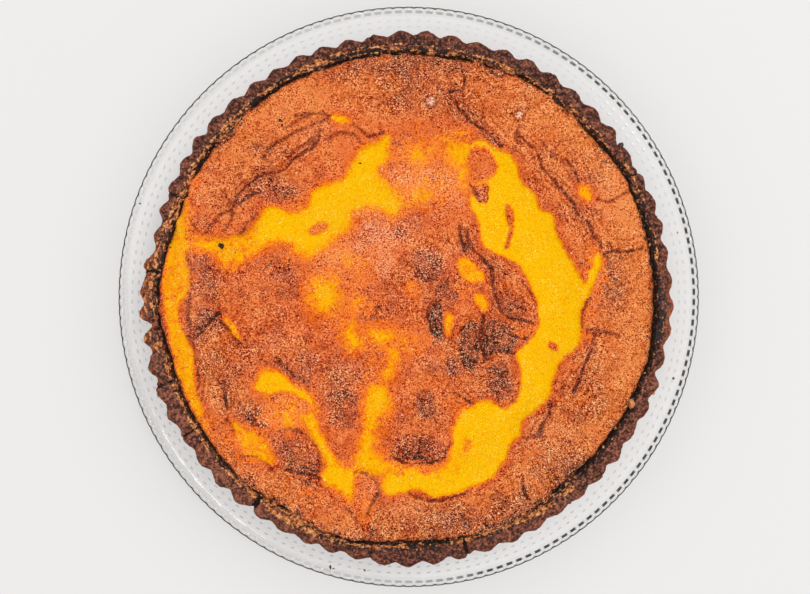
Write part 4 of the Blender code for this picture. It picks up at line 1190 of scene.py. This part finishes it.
class Shader:
    """One material's node tree. What goes into a node is a number, a colour or another node's output."""

    def __init__(self, name):
        self.material = bpy.data.materials.new(name)
        self.material.use_nodes = True
        self.tree = self.material.node_tree
        self.surface = self.tree.nodes["Principled BSDF"]
        place = self.node("TexCoord", {}, "Object")
        self.place = self.node("VectorMath", {0: place, "Scale": 1.0 / MM}, operation="SCALE")  # in mm

    def node(self, kind, inputs, output=0, **settings):
        """The output of a new node with these inputs, each by its name or number, and settings."""
        node = self.tree.nodes.new("ShaderNode" + kind)
        for name, setting in settings.items():
            setattr(node, name, setting)
        for name, value in inputs.items():
            self.set(node.inputs[name], value)
        return Value(self, node.outputs[output])

    def set(self, socket, value):
        if isinstance(value, Value):
            self.tree.links.new(value.socket, socket)
        else:
            socket.default_value = value

    def attribute(self, name):
        return self.node("Attribute", {}, "Fac", attribute_name=name)

    def noise(self, size, detail=2.0, roughness=0.5, swirled=0.0):
        """Noise of 0 to 1 with bumps about size mm across."""
        shape = {"Scale": 1.0 / size, "Detail": detail, "Roughness": roughness, "Distortion": swirled}
        return self.node("TexNoise", {"Vector": self.place, **shape}, "Fac")

    def swing(self, reach, *shape):
        """Such noise from -reach to reach."""
        return self.noise(*shape) * (2.0 * reach) - reach

    def cells(self, size, feature="F1"):
        """Distance to the nearest of many scattered points, or to the cells' borders, about 0 to 1."""
        inputs = {"Vector": self.place, "Scale": 1.0 / size}
        return self.node("TexVoronoi", inputs, "Distance", feature=feature)

    def math(self, operation, first, second=0.0):
        return self.node("Math", {0: first, 1: second}, operation=operation)

    def mix(self, amount, first, second):
        return self.node("Mix", {0: amount, 6: first, 7: second}, 2, data_type="RGBA")

    def vector(self, operation, *values):
        """Sums and limits on a colour's three channels; a single number counts for all three."""
        return self.node("VectorMath", dict(enumerate(values)), operation=operation)

    def ramp(self, value, stops, colour):
        """A colour that runs through the stops, each a place from 0 to 1 and what colour makes one from."""
        node = self.tree.nodes.new("ShaderNodeValToRGB")
        self.set(node.inputs["Fac"], value)
        elements = node.color_ramp.elements
        elements.remove(elements[1])
        for number, (at, *channels) in enumerate(stops):
            element = elements[0] if number == 0 else elements.new(at)
            element.position = at
            element.color = colour(*channels)
        return Value(self, node.outputs["Color"])

    def bump(self, height, distance, strength):
        """A normal from a height of 0 to 1 that stands for distance mm."""
        inputs = {"Height": height, "Distance": distance * MM, "Strength": strength}
        return self.node("Bump", inputs, "Normal")

    def finish(self, **sockets):
        """Fills the Principled shader's sockets, written with _ for spaces."""
        for name, value in sockets.items():
            self.set(self.surface.inputs[name.replace("_", " ")], value)
        return self.material


# ---- the baked top's material --------------------------------------------------------------------

# The baked skin by its lightness, tan and red, and the custard by how yellow it is, in screen colours
TAN_SKIN = (
    (0.0, 52, 32, 25), (0.15, 90, 51, 38), (0.3, 127, 71, 50), (0.45, 161, 89, 59),
    (0.6, 193, 102, 58), (0.75, 215, 116, 62), (0.85, 228, 127, 69), (1.0, 244, 146, 84),
)
RED_SKIN = (
    (0.0, 56, 28, 24), (0.15, 98, 46, 35), (0.3, 133, 60, 43), (0.45, 163, 74, 49),
    (0.6, 190, 87, 52), (0.75, 213, 99, 54), (0.85, 227, 110, 60), (1.0, 244, 128, 72),
)
CUSTARD = (
    (0.0, 212, 94, 46), (0.2, 232, 107, 46), (0.36, 244, 117, 46), (0.5, 250, 135, 36),
    (0.62, 252, 155, 14), (0.76, 253, 175, 4), (0.95, 254, 191, 2),
)
# Painted highlights: the colours of the glints on the custard and on the skin
CUSTARD_PAINTED_GLINT, SKIN_PAINTED_GLINT = screen(255, 232, 140), screen(250, 214, 190)
# FOLD_CREASE_SHADE: the painted shade in the folds' creases
SKIN_PALE, FILM, FOLD_CREASE_SHADE = screen(228, 142, 112), screen(243, 148, 104), screen(92, 38, 26)
DARKEST, LIGHTEST = (0.07, 0.045, 0.035), (0.999, 0.999, 0.999)
# CHAR_AND_SHADE: black for char, and for the painted shade down the open crevice and in the cracks
CHAR_AND_SHADE = linear(24, 17, 15)
WET_TINT = (1.0, 0.55, 0.12, 1.0)
SCREEN_GAMMA = 2.2

LIGHT_GRAIN = (0.90, 1.20, 1.15, 1.0)  # how much of a grain's lightness goes to each channel
BROWN_GRAIN = (1.0, 0.92, 0.80, 1.0)  # the same where the skin is browned
DARK_GRAIN = (1.0, 1.12, 0.95)  # and of a pore's darkness
CUSTARD_GRAIN = (0.0, 0.05, 0.06)  # the wet custard's grain shows in its yellow alone

# The skin's noises: how far they swing, size in mm, detail, roughness and how much they swirl
GRAINS, FINE_GRAINS = (1.2, 1.0, 2.0, 0.65, 0.9), (1.7, 0.55, 1.0)
BLOTCHES, SWIRLS, TINTS = (1.2, 3.8, 3.0, 0.6, 0.8), (1.4, 1.8, 1.0, 0.5, 1.4), (1.3, 9.0, 3.0, 0.6)
CREASES, FINE_CREASES = (0.5, 8.0, 3.0, 0.6), (0.5, 3.4, 2.0, 0.6)
STAINS = (6.0, 3.0, 0.65, 0.8)


class Top(Shader):
    """The baked top: skin and custard in screen colours from the mesh's attributes, with the grain on it."""

    def __init__(self):
        super().__init__("baked_custard")
        self.tear, self.halo, self.brown, self.pale, self.red, self.char_and_shade, self.fold_shade, self.beside = (
            self.attribute(name) for name in TOP_LOOKS
        )
        # Packed grains under a millimetre across, with dark pores between them
        self.uneven = self.swing(*GRAINS) + self.swing(*FINE_GRAINS) + (0.36 - 0.8 * self.cells(0.9))
        self.blotch = self.swing(*BLOTCHES)
        self.swirl = self.swing(*SWIRLS)
        self.gold, self.fringe = self.torn_edge()

    def torn_edge(self):
        """How yellow each place is, as the torn edge wavers, and the red fringe beside it."""
        edge = self.tear + 1.8 * self.blotch + 0.9 * self.swirl
        low, reach = TEAR_DEPTHS[0], 10.0
        stops = [((depth - low) / reach, shade) for depth, shade in zip(TEAR_DEPTHS, TEAR_GOLD)]
        gold = self.ramp((edge - low) * (1.0 / reach), stops, grey)
        mottled = 1.0 + 1.6 * self.blotch + 0.5 * self.swirl + 0.06 * self.uneven
        fringe = edge.between(-5.4, -3.0) * edge.between(-0.6, -2.0, 0.35, 1.0)
        return gold.at_least(self.halo * mottled), fringe

    def creases(self, swings, width, spread, low):
        """Fine creases that wander over parts of the skin, where it dried."""
        return abs(self.swing(*swings)).between(width, 0.0) * self.noise(spread).between(low, 0.6)

    def painted_wrinkle_shade(self):
        """Painted light and shade of the wrinkles that run along the folds, where the skin shrank."""
        along = self.math("SINE", (2.2 * self.blotch - WRINKLE_REACH * self.beside) * WRINKLE_PITCH)
        return along * self.beside.between(0.0, 0.5)

    def skin(self):
        """The skin's colour: red or tan, dark where browned or stained, with painted shade along the folds,
        pale where floury.
        """
        tint = self.swing(*TINTS)
        stain = self.noise(*STAINS).between(0.51, 0.62)
        # shade: painted shade along the folds, darker and redder
        shade = (self.fold_shade + 0.35 * self.blotch).between(0.25, 0.85)
        light = 0.91 - 0.75 * self.brown + 0.06 * self.pale - 0.06 * self.fringe - 0.26 * shade
        light = light + 0.26 * self.blotch + 0.20 * self.swirl + 0.07 * tint + 0.15 * self.painted_wrinkle_shade()
        light = light - 0.12 * self.creases(CREASES, 0.035, 16.0, 0.42) - 0.16 * stain
        red = self.red + 0.85 * self.fringe + 0.4 * shade + 0.25 * stain
        red = red + 0.25 * self.blotch - 0.45 * tint - 0.3 * self.swirl
        skin = self.mix(red, self.ramp(light, TAN_SKIN, screen), self.ramp(light, RED_SKIN, screen))
        return self.mix(self.pale * self.uneven.between(-0.5, 0.5, 0.2, 0.8), skin, SKIN_PALE)

    def with_custard(self, skin):
        """Custard in the tears, and a pale, dried film over some of the thin skin."""
        custard = self.ramp(self.gold - 0.20 * self.blotch.between(0.05, 0.6), CUSTARD, screen)
        colour = self.mix(self.gold.between(0.1, 0.3), skin, custard)
        film = self.pale * (self.swirl + 0.6 * self.uneven).between(-0.7, 0.9, 0.1, 0.95)
        return self.mix(film * self.gold.between(0.15, 0.3, 0.0, 0.7), colour, FILM)

    def grain(self):
        """How much lighter or darker grains, pores, dots, creases and a fine net of painted sheen make each
        place.
        """
        grains = self.uneven.at_most(self.brown.between(0.1, 0.5, 0.28, 1.2))
        grain = (1.15 * grains + 0.075) * self.noise(8.0, 2.0).between(0.38, 0.62, 0.10, 0.31)
        grain = grain - 0.13 * self.uneven.between(-0.25, -0.75)
        grain = grain + self.uneven.between(0.0, 0.6, 0.0, 0.35) * self.brown
        grain = grain - 0.28 * self.cells(2.0).between(0.28, 0.12) * self.noise(7.0).between(0.42, 0.58)
        grain = grain - self.creases(FINE_CREASES, 0.05, 11.0, 0.46) * (0.12 + 0.3 * self.brown)
        # A fine net of painted sheen, brighter on pale and thin skin
        painted_sheen_net = self.cells(1.5, "DISTANCE_TO_EDGE").between(0.16, 0.0)
        grain = grain + painted_sheen_net * (0.16 * self.pale + 0.3 * self.halo)
        return grain * self.gold.between(0.1, 0.65, 1.0, 0.12)

    def with_grain(self, colour):
        """The grain on the colour, channel by channel, and the custard's own."""
        grain = self.grain()
        hue = self.mix(self.brown.between(0.1, 0.6), LIGHT_GRAIN, BROWN_GRAIN)
        colour = self.vector("MULTIPLY_ADD", grain.at_least(0.0), hue, colour)
        colour = self.vector("MULTIPLY_ADD", grain.at_most(0.0), DARK_GRAIN, colour)
        colour = self.vector("MINIMUM", self.vector("MAXIMUM", colour, DARKEST), LIGHTEST)
        pulp = (self.uneven + 0.4 * self.swirl) * self.gold.between(0.3, 0.7)
        return self.vector("MINIMUM", self.vector("MULTIPLY_ADD", pulp, CUSTARD_GRAIN, colour), LIGHTEST)

    def with_painted_glints(self, colour):
        """Painted highlights: glints on the wet custard and on the skin's fat."""
        painted_wet_glint = self.uneven.between(0.42, 1.0) * self.noise(12.0).between(0.40, 0.58)
        colour = self.mix(painted_wet_glint * self.gold.between(0.2, 0.6), colour, CUSTARD_PAINTED_GLINT)
        painted_fat_glint = self.cells(7.0).between(0.085, 0.055) * self.noise(20.0).between(0.45, 0.55, 0.0, 0.85)
        return self.mix(painted_fat_glint, colour, SKIN_PAINTED_GLINT)

    def with_crease_shade_and_char(self, colour):
        """Painted crease shade on the folds, char and painted shade at the crevice; screen to linear colours
        on the way.
        """
        crease_shade = self.fold_shade - 0.06 * self.uneven - 0.18 * self.blotch - 0.16 * self.swirl
        colour = self.mix(crease_shade.between(0.52, 1.02, 0.0, 0.62), colour, FOLD_CREASE_SHADE)
        return self.mix(self.char_and_shade, self.node("Gamma", {"Color": colour, "Gamma": SCREEN_GAMMA}), CHAR_AND_SHADE)


def filling_material():
    s = Top()
    colour = s.with_grain(s.with_custard(s.skin()))
    colour = s.with_crease_shade_and_char(s.with_painted_glints(colour))
    rough = s.gold.between(0.4, 0.8, 0.65, 0.32)
    s.finish(Base_Color=colour, Roughness=rough, Normal=s.bump(s.uneven, 0.14, 0.9))
    return s.finish(Specular_IOR_Level=0.2, Specular_Tint=WET_TINT)


# ---- the other materials -------------------------------------------------------------------------

PASTRY = ((0.05, 40, 19, 13), (0.35, 92, 45, 29), (0.6, 124, 67, 46), (0.95, 160, 98, 74))
BAKED_ON = ((0.05, 50, 24, 12), (0.3, 150, 76, 34), (0.55, 212, 130, 68), (0.9, 242, 186, 130))
BIT_TONES = ((0.0, 18, 13, 12), (0.3, 62, 34, 22), (0.55, 170, 90, 38), (0.85, 232, 158, 90))
RIM_BROWN, GLAZE_BROWN, FLECK = linear(118, 50, 24), linear(52, 26, 18), linear(205, 98, 38)
CLEAR, PAINTED_REFRACTION_COLOUR = (0.995, 0.99, 0.985, 1.0), (0.004, 0.004, 0.005, 1.0)
WHITE = (1.0, 1.0, 1.0, 1.0)


def crust_material():
    s = Shader("chocolate_crust")
    looks = ("spill", "char_and_shade", "rim", "glaze", "tone")
    spill, char_and_shade, rim, glaze, tone = (s.attribute(name) for name in looks)
    uneven = s.swing(1.5, 2.3, 3.0, 0.6) + s.swing(1.2, 0.95, 1.0) + (0.45 - s.cells(1.6))
    # tone: the pastry's tone round the pie, less the painted shade between the flutes
    pastry = s.ramp(0.75 * uneven + 0.5 + tone, PASTRY, linear)
    pastry = s.mix(0.6 * rim, pastry, RIM_BROWN)
    pastry = s.mix(glaze * uneven.between(0.3, -0.5, 0.1, 0.75), pastry, GLAZE_BROWN)
    pastry = s.mix(glaze * rim * s.noise(2.6, 3.0, 0.6, 1.0).between(0.49, 0.56), pastry, FLECK)
    baked_on = s.ramp(0.5 * uneven + 0.5, BAKED_ON, linear)
    colour = s.mix((spill + 0.3 * uneven).between(0.35, 0.65), pastry, baked_on)
    colour = s.mix((char_and_shade - 0.5 * uneven).between(0.2, 0.8, 0.0, 0.95), colour, CHAR_AND_SHADE)
    s.finish(Base_Color=colour, Roughness=glaze.between(0.0, 1.0, 0.7, 0.35), Specular_IOR_Level=0.3)
    return s.finish(Normal=s.bump(uneven, 0.22, 0.9))


def bits_material():
    s = Shader("baked_bits")
    colour = s.ramp(s.attribute("tone") + s.swing(0.45, 0.8), BIT_TONES, linear)
    return s.finish(Base_Color=colour, Roughness=0.45, Normal=s.bump(s.noise(0.5), 0.2, 0.6))


def glass_material():
    """Clear glass that lets lamps through, so that the table under it stays lit; its colour carries painted
    refraction.
    """
    s = Shader("clear_glass")
    # Painted refraction: the glass's colour turns dark along the painted lines
    colour = s.mix(s.attribute("painted_refraction"), CLEAR, PAINTED_REFRACTION_COLOUR)
    s.finish(Base_Color=colour, Roughness=0.0, Transmission_Weight=1.0, IOR=1.5)
    clear = s.node("BsdfTransparent", {"Color": WHITE})
    shader = Value(s, s.surface.outputs[0])
    for kind in ("Is Shadow Ray", "Is Diffuse Ray"):
        shader = s.node("MixShader", {0: s.node("LightPath", {}, kind), 1: shader, 2: clear})
    s.set(s.tree.nodes["Material Output"].inputs["Surface"], shader)
    return s.material


# ---- the room ------------------------------------------------------------------------------------

LENS, SENSOR = 60.0, 36.0
VIEW_WIDTH = 426.9  # of the rim's level across the picture
CAMERA_OFFSET = (-1.05, 0.53)
NEAREST_SEEN = 0.01  # m
KEY_PLACE, KEY_SIZE, KEY_WATTS = (1.1, 0.9, 3.2), 1.0, 18  # m
TABLE_REACH = 4.0  # m
TABLE_COLOUR = (0.81, 0.80, 0.79, 1.0)
ROOM_STRENGTH = 1.92
BACKDROP = (0.86, 0.86, 0.85, 1.0)  # what the camera sees where there is no table
HORIZON, ZENITH = (0.03, 0.03, 0.033, 1.0), (0.95, 0.95, 0.95, 1.0)
ROOM_GREYS = ((0.12, 0.05), (0.35, 0.2), (0.6, 0.4), (0.82, 0.45), (0.93, 0.95))  # by height, between them


def make_camera():
    data = bpy.data.cameras.new("camera")
    data.lens = LENS
    data.sensor_width = SENSOR
    data.clip_start = NEAREST_SEEN
    camera = bpy.data.objects.new("camera", data)
    camera.location = Vector((*CAMERA_OFFSET, RIM + VIEW_WIDTH * LENS / SENSOR)) * MM
    bpy.context.scene.collection.objects.link(camera)
    bpy.context.scene.camera = camera


def make_lamp():
    """A soft round lamp that looks at the pie."""
    data = bpy.data.lights.new("key", "AREA")
    data.shape = "DISK"
    data.size = KEY_SIZE
    data.energy = KEY_WATTS
    lamp = bpy.data.objects.new("key", data)
    lamp.location = KEY_PLACE
    lamp.rotation_euler = (-Vector(KEY_PLACE)).to_track_quat("-Z", "Y").to_euler()
    bpy.context.scene.collection.objects.link(lamp)


def make_floor():
    material = Shader("pale_table").finish(Base_Color=TABLE_COLOUR, Roughness=0.7)
    mesh = bpy.data.meshes.new("table")
    corners = [(x * TABLE_REACH, y * TABLE_REACH, 0) for x, y in ((-1, -1), (1, -1), (1, 1), (-1, 1))]
    mesh.from_pydata(corners, [], [(0, 1, 2, 3)])
    mesh.materials.append(material)
    floor = bpy.data.objects.new("table", mesh)
    bpy.context.scene.collection.objects.link(floor)


def make_world():
    """Soft light from all round, dark near the horizon, so that the glass shows its edges."""
    world = bpy.data.worlds.new("studio")
    bpy.context.scene.world = world
    world.use_nodes = True
    nodes, links = world.node_tree.nodes, world.node_tree.links
    place = nodes.new("ShaderNodeTexCoord")
    split = nodes.new("ShaderNodeSeparateXYZ")
    links.new(place.outputs["Generated"], split.inputs[0])
    ramp = nodes.new("ShaderNodeValToRGB")
    links.new(split.outputs["Z"], ramp.inputs["Fac"])
    elements = ramp.color_ramp.elements
    elements[0].color, elements[1].color = HORIZON, ZENITH
    for height, lightness in ROOM_GREYS:
        elements.new(height).color = grey(lightness)
    light = nodes["Background"]
    light.inputs["Strength"].default_value = ROOM_STRENGTH
    links.new(ramp.outputs["Color"], light.inputs["Color"])
    backdrop = nodes.new("ShaderNodeBackground")
    backdrop.inputs["Color"].default_value = BACKDROP
    path = nodes.new("ShaderNodeLightPath")
    choose = nodes.new("ShaderNodeMixShader")
    for socket, output in enumerate((path.outputs["Is Camera Ray"], light.outputs[0], backdrop.outputs[0])):
        links.new(output, choose.inputs[socket])
    links.new(choose.outputs[0], nodes["World Output"].inputs["Surface"])


def main():
    bpy.context.scene.view_settings.view_transform = "Standard"
    make_camera()
    make_world()
    make_lamp()
    make_floor()
    make_plate()
    make_crust()
    make_filling()
    make_bits()


main()
